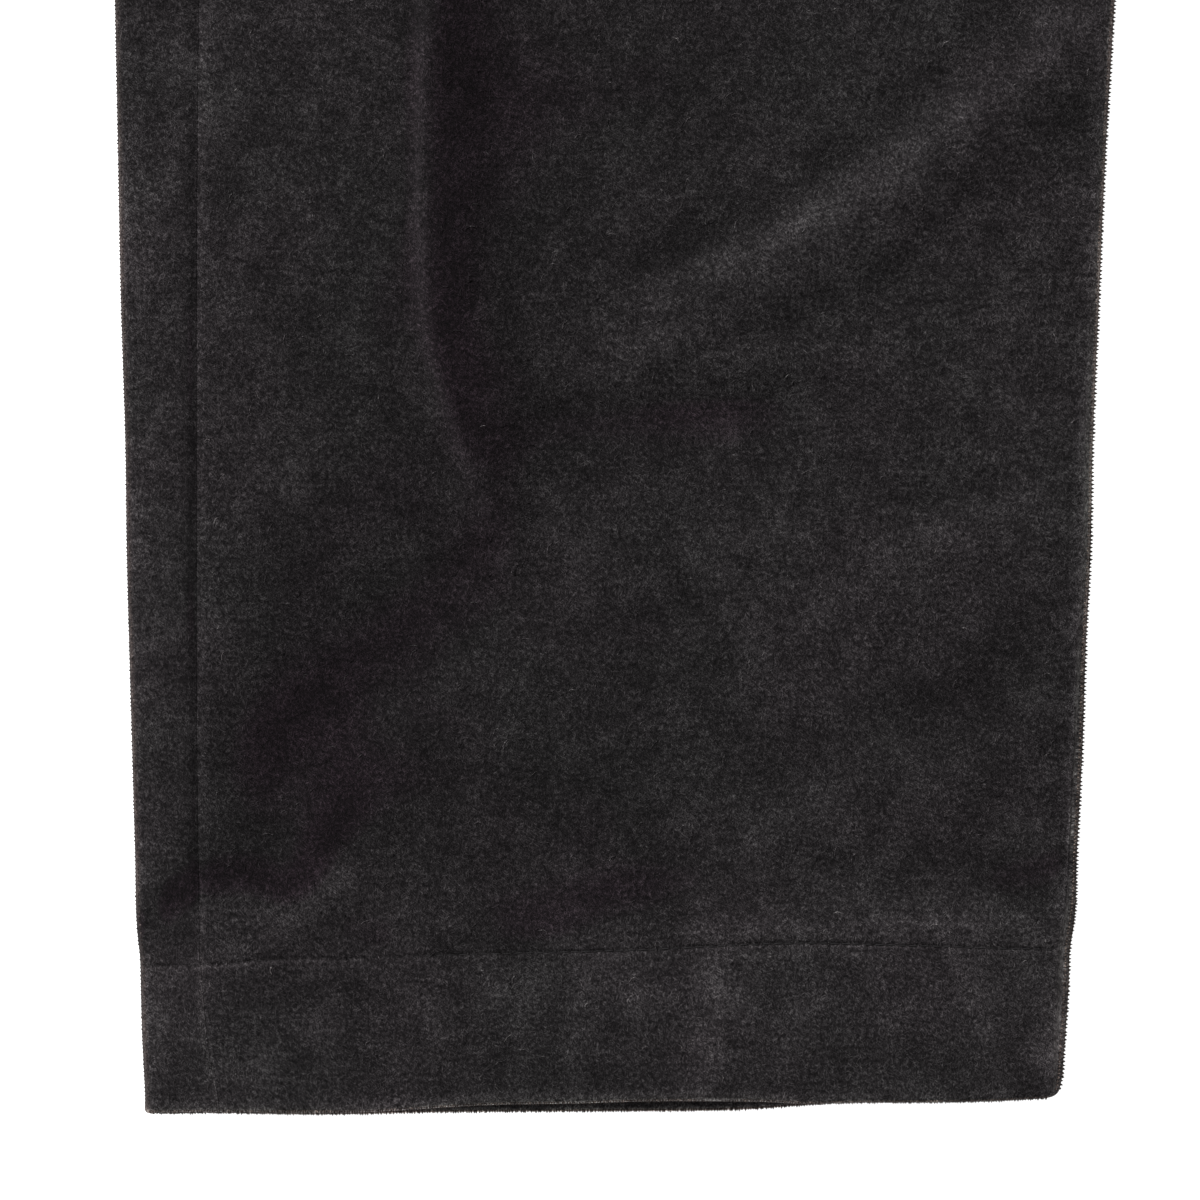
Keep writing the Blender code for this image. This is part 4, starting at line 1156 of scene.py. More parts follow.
# %% How pale each spot is
def cloth_tone(tree, cut, place):
    """Fibres, flecks, mottling, drift and the faint bands of the weft, added up."""
    sway = node(tree, "ShaderNodeTexNoise", (-1700, 0), Scale=140.0, Detail=2.0)
    linked(tree, cut, "UV", sway, "Vector")
    swayed = node(tree, "ShaderNodeVectorMath", (-1500, 0), operation="MULTIPLY_ADD")
    linked(tree, sway, "Color", swayed, 0)
    swayed.inputs[1].default_value = (0.0022, 0.0022, 0.0)
    linked(tree, cut, "UV", swayed, 2)

    fibres = 0.0
    for k, fibre in enumerate(FIBRES):
        layer = fibre_layer(tree, swayed.outputs[0], fibre, k + 1, (-1300, 300 - 220 * k))
        fibres = maths(tree, "MAXIMUM", (-700, 300 - 220 * k), layer, fibres)

    flecks = node(tree, "ShaderNodeTexNoise", (-1300, -700), Scale=950.0, Detail=1.5, Roughness=0.6)
    mottle = node(tree, "ShaderNodeTexNoise", (-1300, -900), Scale=120.0, Detail=3.0, Roughness=0.72)
    drift = node(tree, "ShaderNodeTexNoise", (-1300, -1100), Scale=30.0, Detail=1.0, Roughness=0.5)
    for noise in (flecks, mottle, drift):
        linked(tree, place, "Object", noise, "Vector")
    weft = node(tree, "ShaderNodeMapping", (-1500, -1400))
    weft.inputs["Scale"].default_value = (60.0, 900.0, 60.0)
    linked(tree, swayed, "Vector", weft, "Vector")
    bands = node(tree, "ShaderNodeTexNoise", (-1300, -1400), Scale=1.0, Detail=1.0, Roughness=0.6)
    linked(tree, weft, "Vector", bands, "Vector")

    tone = maths(tree, "MULTIPLY_ADD", (-500, 300), fibres, FIBRE_SHARE, MIDDLE_TONE)
    tone_of = ((flecks, FLECK_SHARE), (mottle, MOTTLE_SHARE), (drift, DRIFT_SHARE), (bands, BAND_SHARE))
    for k, (noise, share) in enumerate(tone_of):
        centred = maths(tree, "SUBTRACT", (-700, -700 - 200 * k), noise.outputs["Fac"], 0.5)
        tone = maths(tree, "MULTIPLY_ADD", (-500, -700 - 200 * k), centred, share, tone)
    return tone


# %% The cast of the colour
WARM_CAST = (1.042, 0.984, 1.020)
COOL_CAST = (0.996, 1.003, 1.000)
# The warm tint of the painted rim light at the edges.
PAINTED_RIM_WARMER = (0.17, 0.0, -0.12)
# A purple tint where shade is painted, and the range of painted shade over which it grows.
PAINTED_SHADE_PURPLER = (0.34, 0.0, 0.24)
PAINTED_SHADE_RANGE = (-0.24, -0.60)
# A greyer tint where strong light is painted, and the range of painted light over which it grows.
PAINTED_LIGHT_GREYER = (-0.02, 0.01, -0.05)
PAINTED_LIGHT_RANGE = (0.5, 3.0)


def cloth_cast(tree, place, nap):
    """Redder and greener places at random, purple painted shade, greyer painted light, warm painted rims."""
    hue = node(tree, "ShaderNodeTexNoise", (-700, 700), Scale=28.0, Detail=2.0)
    linked(tree, place, "Object", hue, "Vector")
    greener = ranged(tree, (-500, 700), 0.35, 0.65)
    linked(tree, hue, "Fac", greener, "Value")
    cast = node(tree, "ShaderNodeMix", (-300, 700), data_type="VECTOR")
    cast.inputs[4].default_value = WARM_CAST
    cast.inputs[5].default_value = COOL_CAST
    linked(tree, greener, 0, cast, 0)
    warm = node(tree, "ShaderNodeAttribute", (-700, 900), attribute_name="warm")
    warmer = node(tree, "ShaderNodeVectorMath", (-300, 900), operation="MULTIPLY_ADD")
    tree.links.new(warm.outputs["Fac"], warmer.inputs[0])
    warmer.inputs[1].default_value = PAINTED_RIM_WARMER
    # Purple tint where painted shade darkens the colour.
    painted_shade_share = ranged(tree, (-500, 1100), *PAINTED_SHADE_RANGE)
    linked(tree, nap, "Fac", painted_shade_share, "Value")
    purpler = node(tree, "ShaderNodeVectorMath", (-300, 1100), operation="MULTIPLY_ADD")
    linked(tree, painted_shade_share, 0, purpler, 0)
    purpler.inputs[1].default_value = PAINTED_SHADE_PURPLER
    # Greyer where strong painted light makes the colour paler.
    raised = ranged(tree, (-500, 1300), *PAINTED_LIGHT_RANGE)
    linked(tree, nap, "Fac", raised, "Value")
    greyer = node(tree, "ShaderNodeVectorMath", (-300, 1300), operation="MULTIPLY_ADD")
    linked(tree, raised, 0, greyer, 0)
    greyer.inputs[1].default_value = PAINTED_LIGHT_GREYER
    tree.links.new(cast.outputs[1], greyer.inputs[2])
    linked(tree, greyer, 0, purpler, 2)
    linked(tree, purpler, 0, warmer, 2)
    return warmer


# %% Cloth material
def brushed_cloth():
    material = bpy.data.materials.new("brushed_cloth")
    material.use_nodes = True
    tree = material.node_tree
    shader = tree.nodes["Principled BSDF"]
    shader.inputs["Roughness"].default_value = 0.95
    shader.inputs["Specular IOR Level"].default_value = 0.1
    shader.inputs["Sheen Weight"].default_value = 0.06
    shader.inputs["Sheen Roughness"].default_value = 0.5
    shader.inputs["Sheen Tint"].default_value = (1.0, 0.96, 0.97, 1.0)

    cut = node(tree, "ShaderNodeUVMap", (-1900, 0), uv_map="cut")
    place = node(tree, "ShaderNodeTexCoord", (-1900, -300))

    tone = cloth_tone(tree, cut, place)
    colours = node(tree, "ShaderNodeValToRGB", (-300, 100))
    ramp = colours.color_ramp
    ramp.elements[0].position = 0.0
    ramp.elements[0].color = (0.0030, 0.0026, 0.0027, 1)
    ramp.elements[1].position = 1.0
    ramp.elements[1].color = (0.095, 0.090, 0.091, 1)
    for position, colour in (
        (0.25, (0.0080, 0.0071, 0.0075)),
        (0.50, (0.0185, 0.0167, 0.0175)),
        (0.75, (0.0420, 0.0392, 0.0402)),
    ):
        ramp.elements.new(position).color = (*colour, 1)
    tree.links.new(tone, colours.inputs["Fac"])

    # The painted light and shade of each point, with the paleness of loose fibres and lint, scale the colour.
    nap = node(tree, "ShaderNodeAttribute", (-700, 500), attribute_name="nap")
    paler = maths(tree, "ADD", (-300, 500), nap.outputs["Fac"], 1.0)
    cast = cloth_cast(tree, place, nap)
    tinted = node(tree, "ShaderNodeVectorMath", (-100, 400), operation="MULTIPLY")
    linked(tree, colours, "Color", tinted, 0)
    linked(tree, cast, 0, tinted, 1)
    shade = node(tree, "ShaderNodeVectorMath", (-100, 200), operation="SCALE")
    linked(tree, tinted, 0, shade, 0)
    tree.links.new(paler, shade.inputs["Scale"])
    linked(tree, shade, 0, shader, "Base Color")

    bump = node(tree, "ShaderNodeBump", (-200, -400), Strength=0.5, Distance=0.0003)
    tree.links.new(tone, bump.inputs["Height"])
    linked(tree, bump, "Normal", shader, "Normal")
    return material


cloth_material = brushed_cloth()
for piece in cloth_pieces.values():
    piece.data.materials.append(cloth_material)
print("cloth material with", len(cloth_material.node_tree.nodes), "nodes")

# %% [markdown]
# ## Nap at the edges
#
# The cloth has fine ribs across the leg, which hardly show on its face. Where it rolls over an
# edge, though, the nap of each rib stands out as a small tuft. Hair particles would do, but so
# small a tuft is only a little cone. One cone is modelled and then copied along every edge.

# %% One tuft, and copies of a small shape
Unit = namedtuple("Unit", "points faces")
Places = namedtuple("Places", "at along up size")


def as_unit(piece):
    """Takes a small shape's mesh to be copied, and removes the shape itself."""
    unit = Unit(
        np.array([v.co for v in piece.data.vertices]),
        [list(face.vertices) for face in piece.data.polygons],
    )
    bpy.data.objects.remove(piece)
    return unit


def copies(unit, groups):
    """A copy of the unit at every place. size is along, across and up, in metres."""
    at, along, up, size = (np.concatenate(column) for column in zip(*groups))
    third = np.cross(up, along)
    points = at[:, None]
    for k, axis in enumerate((along, third, up)):
        points = points + unit.points[None, :, k : k + 1] * (axis * size[:, k : k + 1])[:, None]
    count = len(unit.points)
    faces = [[i + k * count for i in face] for k in range(len(at)) for face in unit.faces]
    return points.reshape(-1, 3), faces


bpy.ops.mesh.primitive_cone_add(vertices=5, radius1=0.5, radius2=0.0, depth=1.0)
tuft = bpy.context.active_object
bpy.ops.object.mode_set(mode="EDIT")
bpy.ops.mesh.select_all(action="SELECT")
bpy.ops.transform.translate(value=(0, 0, 0.35))
bpy.ops.object.mode_set(mode="OBJECT")
tuft_unit = as_unit(tuft)
print("a tuft has", len(tuft_unit.faces), "faces")

# %% Where the tufts stand
RIB_PITCH = 0.95 * MM
TUFT_ANGLES = (-12, 20, 48)
TUFT_WIDTH = 0.86 * MM
TUFT_IN_SHADE = 0.98 * MM
TUFT_IN_LIGHT = 0.55 * MM
TUFT_SUNK = 0.1 * MM
HEM_TUFT_PITCH = 0.62 * MM
HEM_TUFT_ANGLES = (8, 40)
HEM_TUFT = 0.62 * MM
# How much paler the tufts are painted, at the tip and by the edge they stand on: painted rim light, strongest
# where the edge is turned from the key light and at the hem.
TUFT_TIP_PAINTED_LIGHT = 0.3
SHADE_TUFT_PAINTED_LIGHT = 4.6
LIT_TUFT_PAINTED_LIGHT = 0.9
HEM_TUFT_PAINTED_LIGHT = 3.6
chance = np.random.default_rng(5)


def side_tufts(side, column):
    """Tufts at every rib, at several angles round a leg's rolled edge."""
    top = CROTCH if column == "inner" else WAIST_SEAM
    heights = np.arange(2.2 * MM, top, RIB_PITCH)
    outward = 1 if column == "outer" else -1
    edge, radius = outline_at(heights, column), thickness_at(heights) / 2
    lean = np.gradient(edge, heights)
    level_out = np.stack([side * outward + 0 * lean, -outward * lean, 0 * lean], axis=1)
    level_out /= np.linalg.norm(level_out, axis=1, keepdims=True)
    along = np.stack([-level_out[:, 1], level_out[:, 0], 0 * lean], axis=1)
    tall = TUFT_IN_SHADE if outward * side > 0 else TUFT_IN_LIGHT
    found = []
    for degrees in TUFT_ANGLES:
        a = math.radians(degrees)
        across = edge - outward * (radius * (1 - math.cos(a)) + TUFT_SUNK)
        y = HEM_LEVEL + heights + hem_offset(across, heights, True)
        y += chance.uniform(-0.12, 0.12, len(heights)) * RIB_PITCH
        at = np.stack([side * across, y, radius * (1 + math.sin(a))], axis=1)
        out = math.cos(a) * level_out + math.sin(a) * np.array([0, 0, 1.0])
        high = tall * chance.uniform(0.65, 1.1, len(heights)) * (0.65 if degrees > 40 else 1.0)
        wide = np.full_like(high, TUFT_WIDTH)
        found.append(Places(at, along, out, np.stack([wide, wide, high], axis=1)))
    return found


def hem_tufts(side, on_top):
    """Tufts along the lower edge of the front or of the back."""
    inner, outer = float(outline_at(0.0, "inner")), float(outline_at(0.0, "outer"))
    across = np.arange(inner + 2.4 * MM, outer - 1.4 * MM, HEM_TUFT_PITCH)
    across = across + chance.uniform(-0.25, 0.25, len(across)) * HEM_TUFT_PITCH
    at_hem = np.zeros_like(across)
    level = HEM_THICK - turn_radius if on_top else turn_radius
    found = []
    for degrees in HEM_TUFT_ANGLES:
        a = math.radians(degrees)
        y = HEM_LEVEL + hem_offset(across, at_hem, on_top) + turn_radius * (1 - math.cos(a)) + TUFT_SUNK
        at = np.stack([side * across, y, level + turn_radius * math.sin(a) + at_hem], axis=1)
        out = np.tile([0.0, -math.cos(a), math.sin(a)], (len(across), 1))
        along = np.tile([1.0, 0.0, 0.0], (len(across), 1))
        high = HEM_TUFT * chance.uniform(0.6, 1.2, len(across))
        wide = np.full_like(high, TUFT_WIDTH)
        found.append(Places(at, along, out, np.stack([wide, wide, high], axis=1)))
    return found


# %% Set the tufts
for word, side in (("right", -1), ("left", 1)):
    outer, inner = side_tufts(side, "outer"), side_tufts(side, "inner")
    hems = hem_tufts(side, True) + hem_tufts(side, False)
    points, faces = copies(tuft_unit, outer + inner + hems)
    # Each tuft's painted rim light depends on whether its edge faces the key light.
    levels = [LIT_TUFT_PAINTED_LIGHT if side < 0 else SHADE_TUFT_PAINTED_LIGHT] * len(outer)
    levels += [SHADE_TUFT_PAINTED_LIGHT if side < 0 else LIT_TUFT_PAINTED_LIGHT] * len(inner)
    levels += [HEM_TUFT_PAINTED_LIGHT] * len(hems)
    root = np.concatenate([np.full(len(g.at), k) for g, k in zip(outer + inner + hems, levels)])
    root = np.repeat(root, len(tuft_unit.points))
    up = np.tile(tuft_unit.points[:, 2], len(points) // len(tuft_unit.points))
    nap = mix(root, TUFT_TIP_PAINTED_LIGHT, (up - up.min()) / (up.max() - up.min()))
    piece = make_mesh(f"edge_nap_{word}", points, faces, points[:, :2], nap=nap, warm=np.ones_like(nap))
    piece.data.materials.append(cloth_material)
    hand_in(piece, None)
    print(piece.name, len(faces), "faces")

# %% [markdown]
# ## Stitches
#
# The hem is held by small stitches that sink into the nap and show only as a fine dark line, with
# painted shade along it in the cloth. The fly and the waistband have longer ones that lie on the
# cloth. A thread could be a curve, but what shows of it is one short dash after another, so a
# small ball drawn out to a dash is copied along each line of stitches.

# %% One stitch, and a line of them
bpy.ops.mesh.primitive_uv_sphere_add(segments=8, ring_count=6, radius=0.5)
dash = bpy.context.active_object
bpy.ops.object.mode_set(mode="EDIT")
bpy.ops.mesh.select_all(action="SELECT")
bpy.ops.transform.rotate(value=math.pi / 2, orient_axis="Y", center_override=(0, 0, 0))
bpy.ops.object.mode_set(mode="OBJECT")
stitch_unit = as_unit(dash)
print("a stitch has", len(stitch_unit.faces), "faces")

STITCH_PITCH = 2.7 * MM
STITCH_LONG = 2.1 * MM
THREAD = 0.42 * MM
HEM_THREAD = 0.26 * MM


def on_front(side, across, height):
    """Points on the upper side of the cloth."""
    y = HEM_LEVEL + height + hem_offset(across, height, True) + waist_offset(across, height, True)
    return np.stack([side * across, y, top_level(side, across, height)], axis=1)


def on_back(side, across, height):
    """Points on the side that lies on the surface."""
    y = HEM_LEVEL + height + hem_offset(across, height, False) + waist_offset(across, height, False)
    return np.stack([side * across, y, np.zeros_like(across)], axis=1)


def stitches(points, thread, pitch=STITCH_PITCH, long=STITCH_LONG):
    """Dashes at an even pitch along a line of points."""
    steps = np.linalg.norm(np.diff(points, axis=0), axis=1)
    passed = np.concatenate([[0.0], np.cumsum(steps)])
    middles = np.arange(pitch / 2, passed[-1], pitch)
    at = np.stack([np.interp(middles, passed, points[:, k]) for k in range(3)], axis=1)
    ahead = np.stack([np.interp(middles + pitch / 4, passed, points[:, k]) for k in range(3)], axis=1)
    behind = np.stack([np.interp(middles - pitch / 4, passed, points[:, k]) for k in range(3)], axis=1)
    along = ahead - behind
    along /= np.linalg.norm(along, axis=1, keepdims=True)
    up = np.array([0, 0, 1.0]) - along[:, 2:3] * along
    up /= np.linalg.norm(up, axis=1, keepdims=True)
    return Places(at, along, up, np.tile([long, thread, thread], (len(at), 1)))


def sew(name, groups, material):
    points, faces = copies(stitch_unit, groups)
    piece = make_mesh(name, points, faces)
    piece.data.shade_smooth()
    piece.data.materials.append(material)
    hand_in(piece, None)
    print(name, len(faces) // len(stitch_unit.faces), "stitches")


# %% Thread material
def thread_finish():
    """Dull dark thread with a fine twist."""
    material = bpy.data.materials.new("dark_thread")
    material.use_nodes = True
    tree = material.node_tree
    shader = tree.nodes["Principled BSDF"]
    shader.inputs["Roughness"].default_value = 0.7
    shader.inputs["Specular IOR Level"].default_value = 0.25
    place = node(tree, "ShaderNodeTexCoord", (-900, 0))
    strands = node(tree, "ShaderNodeTexNoise", (-700, 0), Scale=2600.0, Detail=2.0)
    linked(tree, place, "Object", strands, "Vector")
    colours = node(tree, "ShaderNodeValToRGB", (-500, 0))
    colours.color_ramp.elements[0].color = (0.006, 0.0055, 0.006, 1)
    colours.color_ramp.elements[1].color = (0.030, 0.028, 0.029, 1)
    linked(tree, strands, "Fac", colours, "Fac")
    linked(tree, colours, "Color", shader, "Base Color")
    bump = node(tree, "ShaderNodeBump", (-300, -300), Strength=0.4, Distance=0.0001)
    linked(tree, strands, "Fac", bump, "Height")
    linked(tree, bump, "Normal", shader, "Normal")
    return material


thread_material = thread_finish()
print("thread material with", len(thread_material.node_tree.nodes), "nodes")

# %% Sew the hems
FROM_EDGES = 4 * MM
SUNK, PROUD = -0.14 * MM, 0.04 * MM
BACK_ROW_ABOVE = 0.8 * MM
for word, side in (("right", -1), ("left", 1)):
    low = float(outline_at(HEM_DEPTH, "inner")) + FROM_EDGES
    high = float(outline_at(HEM_DEPTH, "outer")) - FROM_EDGES
    across = np.linspace(low, high, 240)
    height = np.full_like(across, HEM_DEPTH)
    front = on_front(side, across, height)
    front[:, 2] += mix(SUNK, PROUD, stitches_show(share_across(across, height)))
    back = on_back(side, across, height + BACK_ROW_ABOVE)
    rows = [stitches(front, HEM_THREAD), stitches(back, HEM_THREAD)]
    sew(f"hem_stitches_{word}", rows, thread_material)

# %% [markdown]
# ## The pressed edge in the hem
#
# In the hem the side seam is pressed through four layers, and its edge stands out as a fine pale
# line of painted highlight. It could be a raised row of the sheet, but the sheet's rows run the
# other way. So short dashes of cloth that touch each other are laid along the seam, sunk to the
# middle, and painted pale as a highlight.

# %% The pressed edge of the side seam
EDGE_ENDS = 0.6 * MM
EDGE_SUNK = 0.10 * MM
EDGE_DASHES = (0.42 * MM, 0.7 * MM, 1.1 * MM)
# The dashes are painted this much paler: a painted highlight along the pressed edge.
PRESSED_EDGE_HIGHLIGHT = 1.6
for word, side in (("right", -1), ("left", 1)):
    height = np.linspace(EDGE_ENDS, HEM_DEPTH - EDGE_ENDS, 80)
    line = on_front(side, outline_at(height, "outseam"), height)
    line[:, 2] -= EDGE_SUNK
    points, faces = copies(stitch_unit, [stitches(line, *EDGE_DASHES)])
    painted_highlight = np.full(len(points), PRESSED_EDGE_HIGHLIGHT)
    piece = make_mesh(f"pressed_edge_{word}", points, faces, points[:, :2], nap=painted_highlight, warm=0 * painted_highlight)
    piece.data.shade_smooth()
    piece.data.materials.append(cloth_material)
    hand_in(piece, None)
    print(piece.name, len(faces), "faces")

# %% [markdown]
# ## Centre, fly and waistband seams
#
# The centre seam's thread lies between the two halves and closes the gap between them. The fly and
# the waistband are topstitched: the lines of stitches lie on the cloth, a little in from its edge.

# %% Sew the centre seams
SEAM_THREAD = 0.5 * MM
SEAM_STITCH = (SEAM_THREAD, 1.7 * MM, 2.3 * MM)
half = 0.5 * CLOTH
front_seam = np.linspace(CROTCH + 3 * MM, FLY_BOTTOM + 4 * MM, 60)
back_seam = np.linspace(CROTCH + 3 * MM, WAIST_SEAM + BAND_HEIGHT - 2 * MM, 160)
groups = []
for line, at_level, on_top in ((front_seam, LEG_THICK - half, True), (back_seam, half, False)):
    middle = np.zeros_like(line)
    y = HEM_LEVEL + line + waist_offset(middle, line, on_top)
    groups.append(stitches(np.stack([middle, y, middle + at_level], axis=1), *SEAM_STITCH))
sew("centre_seam_thread", groups, thread_material)

# %% Sew the fly and the waistband
FLY_STITCH = 35 * MM
FLY_CURVE_STARTS = 884 * MM
BAND_STITCH_IN = 2.6 * MM

turn = np.linspace(0, math.pi / 2, 24)
fly_across = np.concatenate([np.full(30, FLY_STITCH), 2 * MM + (FLY_STITCH - 2 * MM) * np.cos(turn)])
fly_height = np.concatenate([
    np.linspace(WAIST_SEAM - 3 * MM, FLY_CURVE_STARTS, 30),
    FLY_CURVE_STARTS - (FLY_CURVE_STARTS - FLY_BOTTOM - 3 * MM) * np.sin(turn),
])
sew("fly_stitches", [stitches(on_front(1, fly_across, fly_height), THREAD)], thread_material)

for word, side in (("right", -1), ("left", 1)):
    groups = []
    for height in (WAIST_SEAM + BAND_STITCH_IN, WAIST_SEAM + BAND_HEIGHT - BAND_STITCH_IN):
        start = float(centre_edge(side, height)) + BAND_STITCH_IN
        across = np.linspace(start, float(outline_at(height, "outer")) - 4 * MM, 200)
        groups.append(stitches(on_front(side, across, np.full_like(across, height)), THREAD))
        across = np.linspace(BAND_STITCH_IN, across[-1], 200)
        groups.append(stitches(on_back(side, across, np.full_like(across, height)), THREAD))
    sew(f"waistband_stitches_{word}", groups, thread_material)

# %% [markdown]
# ## Button and buttonhole
#
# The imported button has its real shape, so it only needs a finish: dark polished horn-like plastic
# with a faint grain. Its thread and the stitched edge of the buttonhole are copies of the same
# small dash, larger or thinner.

# %% Button finish
def button_finish():
    material = bpy.data.materials.new("dark_button")
    material.use_nodes = True
    tree = material.node_tree
    shader = tree.nodes["Principled BSDF"]
    shader.inputs["Coat Weight"].default_value = 0.4
    shader.inputs["Coat Roughness"].default_value = 0.12
    place = node(tree, "ShaderNodeTexCoord", (-1100, 0))
    grain = node(tree, "ShaderNodeMapping", (-900, 0))
    grain.inputs["Scale"].default_value = (90.0, 420.0, 90.0)
    linked(tree, place, "Object", grain, "Vector")
    streaks = node(tree, "ShaderNodeTexNoise", (-700, 0), Scale=1.0, Detail=4.0, Distortion=1.2)
    linked(tree, grain, "Vector", streaks, "Vector")
    colours = node(tree, "ShaderNodeValToRGB", (-500, 0))
    colours.color_ramp.elements[0].position = 0.35
    colours.color_ramp.elements[0].color = (0.007, 0.006, 0.006, 1)
    colours.color_ramp.elements[1].position = 0.75
    colours.color_ramp.elements[1].color = (0.045, 0.034, 0.028, 1)
    linked(tree, streaks, "Fac", colours, "Fac")
    linked(tree, colours, "Color", shader, "Base Color")
    polish = node(tree, "ShaderNodeMapRange", (-500, -300))
    polish.inputs["To Min"].default_value = 0.22
    polish.inputs["To Max"].default_value = 0.42
    linked(tree, streaks, "Fac", polish, "Value")
    linked(tree, polish, 0, shader, "Roughness")
    return material


button = bpy.data.objects["waist_button"]
button.data.materials.clear()
button.data.materials.append(button_finish())
button_low, button_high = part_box("waist_button")
button_centre = (np.array(button_low) + np.array(button_high)) / 2
print("the button is", round((button_high[0] - button_low[0]) / MM, 1), "mm wide")

# %% Button thread and buttonhole
HOLE_SPACING = 3.4 * MM
STRANDS = 3
STRAND_THICK = 0.5 * MM
STRAND_PITCH = 0.45 * MM
MIDDLE_STRAND_UP = 0.12 * MM
STRAND_PAST_HOLES = 1.5 * MM
WELL_BELOW_TOP = 0.9 * MM
THREAD_ABOVE_WELL = 0.25 * MM
HOLE_LONG = 20 * MM
HOLE_BEGINS = -2 * MM
HOLE_HALF_WIDE = 1.1 * MM
BEAD_PITCH = 0.42 * MM
BEAD_LONG = 1.6 * MM

level = button_high[2] - WELL_BELOW_TOP + THREAD_ABOVE_WELL
strands = []
for row in (-1, 1):
    for k in range(STRANDS):
        y = button_centre[1] + row * HOLE_SPACING / 2 + (k - (STRANDS - 1) / 2) * STRAND_PITCH
        strands.append([button_centre[0], y, level + (MIDDLE_STRAND_UP if k == 1 else 0.0)])
at = np.array(strands)
size = np.tile([HOLE_SPACING + STRAND_PAST_HOLES, STRAND_THICK, STRAND_THICK], (len(at), 1))
x_axis, z_axis = np.tile([1.0, 0, 0], (len(at), 1)), np.tile([0, 0, 1.0], (len(at), 1))
sew("button_thread", [Places(at, x_axis, z_axis, size)], thread_material)

count = round(2 * HOLE_LONG / BEAD_PITCH)
around = np.linspace(0, 2 * math.pi, count, endpoint=False)
middle = button_centre[0] + HOLE_BEGINS + HOLE_LONG / 2
hole_height = button_centre[1] - HEM_LEVEL + FRONT_DIP
bead_across = middle + HOLE_LONG / 2 * np.cos(around)
bead_height = hole_height + HOLE_HALF_WIDE * np.sign(np.sin(around)) * np.abs(np.sin(around)) ** 0.35
at = on_front(1, bead_across, bead_height)
out = np.stack([0.35 * np.cos(around), np.sin(around), 0 * around], axis=1)
out /= np.linalg.norm(out, axis=1, keepdims=True)
up = np.tile([0, 0, 1.0], (count, 1))
bead = Places(at, out, up, np.tile([BEAD_LONG, BEAD_PITCH, BEAD_PITCH], (count, 1)))
sew("buttonhole_thread", [bead], thread_material)

# %% [markdown]
# ## Loose fibres
#
# Brushing pulls single fibres out of the cloth, and they lie on it in all directions, curled and a
# little paler. Drawn in the texture alone they look printed. One fibre is modelled as a bent
# three-sided thread and then copied all over the fronts, with a few pale bits of lint among them.

# %% One loose fibre
bpy.ops.mesh.primitive_circle_add(vertices=3, radius=0.5, fill_type="NGON")
fibre = bpy.context.active_object
bpy.ops.object.mode_set(mode="EDIT")
bpy.ops.mesh.select_all(action="SELECT")
bpy.ops.transform.rotate(value=math.pi / 2, orient_axis="Y", center_override=(0, 0, 0))
bpy.ops.transform.translate(value=(-0.5, -1.1, 0))
for forward, aside in ((0.52, 1.9), (0.48, -1.2)):
    bpy.ops.mesh.extrude_region_move(TRANSFORM_OT_translate={"value": (forward, aside, 0)})
bpy.ops.mesh.select_all(action="SELECT")
bpy.ops.mesh.normals_make_consistent(inside=False)
bpy.ops.object.mode_set(mode="OBJECT")
fibre_unit = as_unit(fibre)
print("a loose fibre has", len(fibre_unit.faces), "faces")

# %% Scatter the fibres
LOOSE_FIBRES = {"right": 7600, "left": 3000}
FIBRE_LONG = (0.9, 2.6)
FIBRE_THICK = (0.12, 0.20)
LINT_EVERY = 90
LINT_PALE = 4.0
for word, side in (("right", -1), ("left", 1)):
    count = LOOSE_FIBRES[word]
    chance = np.random.default_rng(20 + side)
    height = chance.uniform(2 * MM, WAIST_SEAM - 4 * MM, count)
    low, high = outline_at(height, "inner") + 4 * MM, outline_at(height, "outseam") - 2 * MM
    across = mix(low, high, chance.uniform(0, 1, count))
    at = on_front(side, across, height)
    turn = chance.uniform(0, 2 * math.pi, count)
    along = np.stack([np.cos(turn), np.sin(turn), 0 * turn], axis=1)
    up = np.tile([0.0, 0.0, 1.0], (count, 1))
    long = chance.uniform(*FIBRE_LONG, count)
    thick = chance.uniform(*FIBRE_THICK, count)
    curl = thick * chance.uniform(0.5, 1.6, count)
    size = MM * np.stack([long, curl, thick], axis=1)
    paler = chance.uniform(0.2, 1.7, count)
    paler[::LINT_EVERY] = LINT_PALE
    points, faces = copies(fibre_unit, [Places(at, along, up, size)])
    # A fibre takes on the painted light and shade of the cloth under it.
    paler = (1 + paler) * (1 + nap_at(at[:, 0], at[:, 1] - HEM_LEVEL)) - 1
    nap = np.repeat(paler, len(fibre_unit.points))
    piece = make_mesh(f"loose_fibres_{word}", points, faces, points[:, :2], nap=nap, warm=0 * nap)
    piece.data.materials.append(cloth_material)
    hand_in(piece, None)
    print(piece.name, len(faces), "faces")

# %% [markdown]
# ## Floor, light and camera
#
# The garment lies on a plain pale surface under soft light. The main light comes low from the
# upper left, so that the folds show. The camera looks straight down on the lower end of the right
# leg, from a little over a metre.

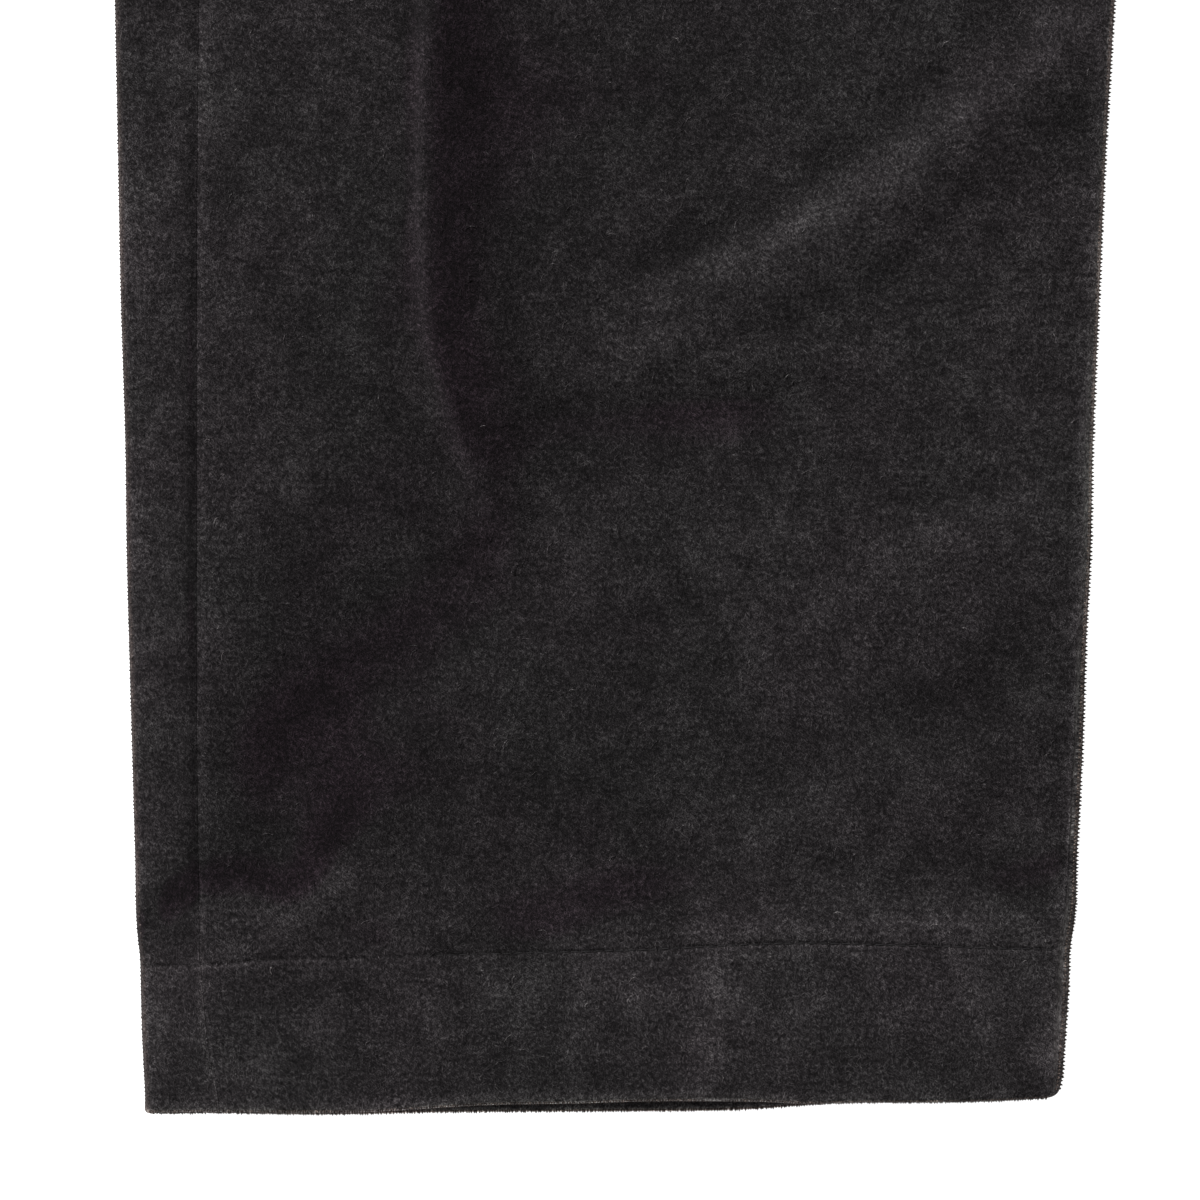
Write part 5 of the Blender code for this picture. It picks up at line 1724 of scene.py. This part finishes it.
# %% Floor
FLOOR_DROP = 0.4 * MM
bpy.ops.mesh.primitive_plane_add(size=24, location=(0, 0, -FLOOR_DROP))
floor = bpy.context.active_object
floor.name = "floor"
floor_material = bpy.data.materials.new("pale_floor")
floor_material.use_nodes = True
floor_shader = floor_material.node_tree.nodes["Principled BSDF"]
floor_shader.inputs["Base Color"].default_value = (0.86, 0.86, 0.86, 1)
floor_shader.inputs["Roughness"].default_value = 0.9
floor_shader.inputs["Emission Color"].default_value = (1, 1, 1, 1)
floor_shader.inputs["Emission Strength"].default_value = 1.0
floor.data.materials.append(floor_material)
print("the floor lies", FLOOR_DROP / MM, "mm below the garment")

# %% Lights
KEY_FROM = (-0.70, 0.70, 0.35)
KEY_STRENGTH = 5.55
KEY_SOFTNESS = 12
SKY_STRENGTH = 0.27


def add_sun(name, direction, strength, softness):
    light = bpy.data.lights.new(name, "SUN")
    light.energy = strength
    light.angle = math.radians(softness)
    lamp = bpy.data.objects.new(name, light)
    lamp.rotation_mode = "QUATERNION"
    lamp.rotation_quaternion = Vector(direction).to_track_quat("Z", "Y")
    bpy.context.scene.collection.objects.link(lamp)
    return lamp


add_sun("key_light", KEY_FROM, KEY_STRENGTH, KEY_SOFTNESS)
world = bpy.data.worlds.new("studio")
world.use_nodes = True
world.node_tree.nodes["Background"].inputs["Color"].default_value = (1, 1, 1, 1)
world.node_tree.nodes["Background"].inputs["Strength"].default_value = SKY_STRENGTH
bpy.context.scene.world = world
print("one sun of strength", KEY_STRENGTH, "and a sky of strength", SKY_STRENGTH)

# %% Camera
LENS = 150.0
SENSOR = 36.0
FRAME_WIDTH = 288 * MM
CENTRE_ACROSS = -179.1 * MM
CENTRE_HEIGHT = 123.6 * MM
camera_data = bpy.data.cameras.new("camera")
camera_data.lens = LENS
camera_data.sensor_width = SENSOR
camera_data.clip_start = 0.05
camera_data.clip_end = 60.0
camera = bpy.data.objects.new("camera", camera_data)
CAMERA_UP = FRAME_WIDTH * LENS / SENSOR + LEG_THICK / 2
camera.location = (CENTRE_ACROSS, HEM_LEVEL + CENTRE_HEIGHT, CAMERA_UP)
bpy.context.scene.collection.objects.link(camera)
bpy.context.scene.camera = camera
bpy.context.scene.view_settings.view_transform = "Standard"
print("the camera stands", round(camera.location.z, 3), "m above the surface")
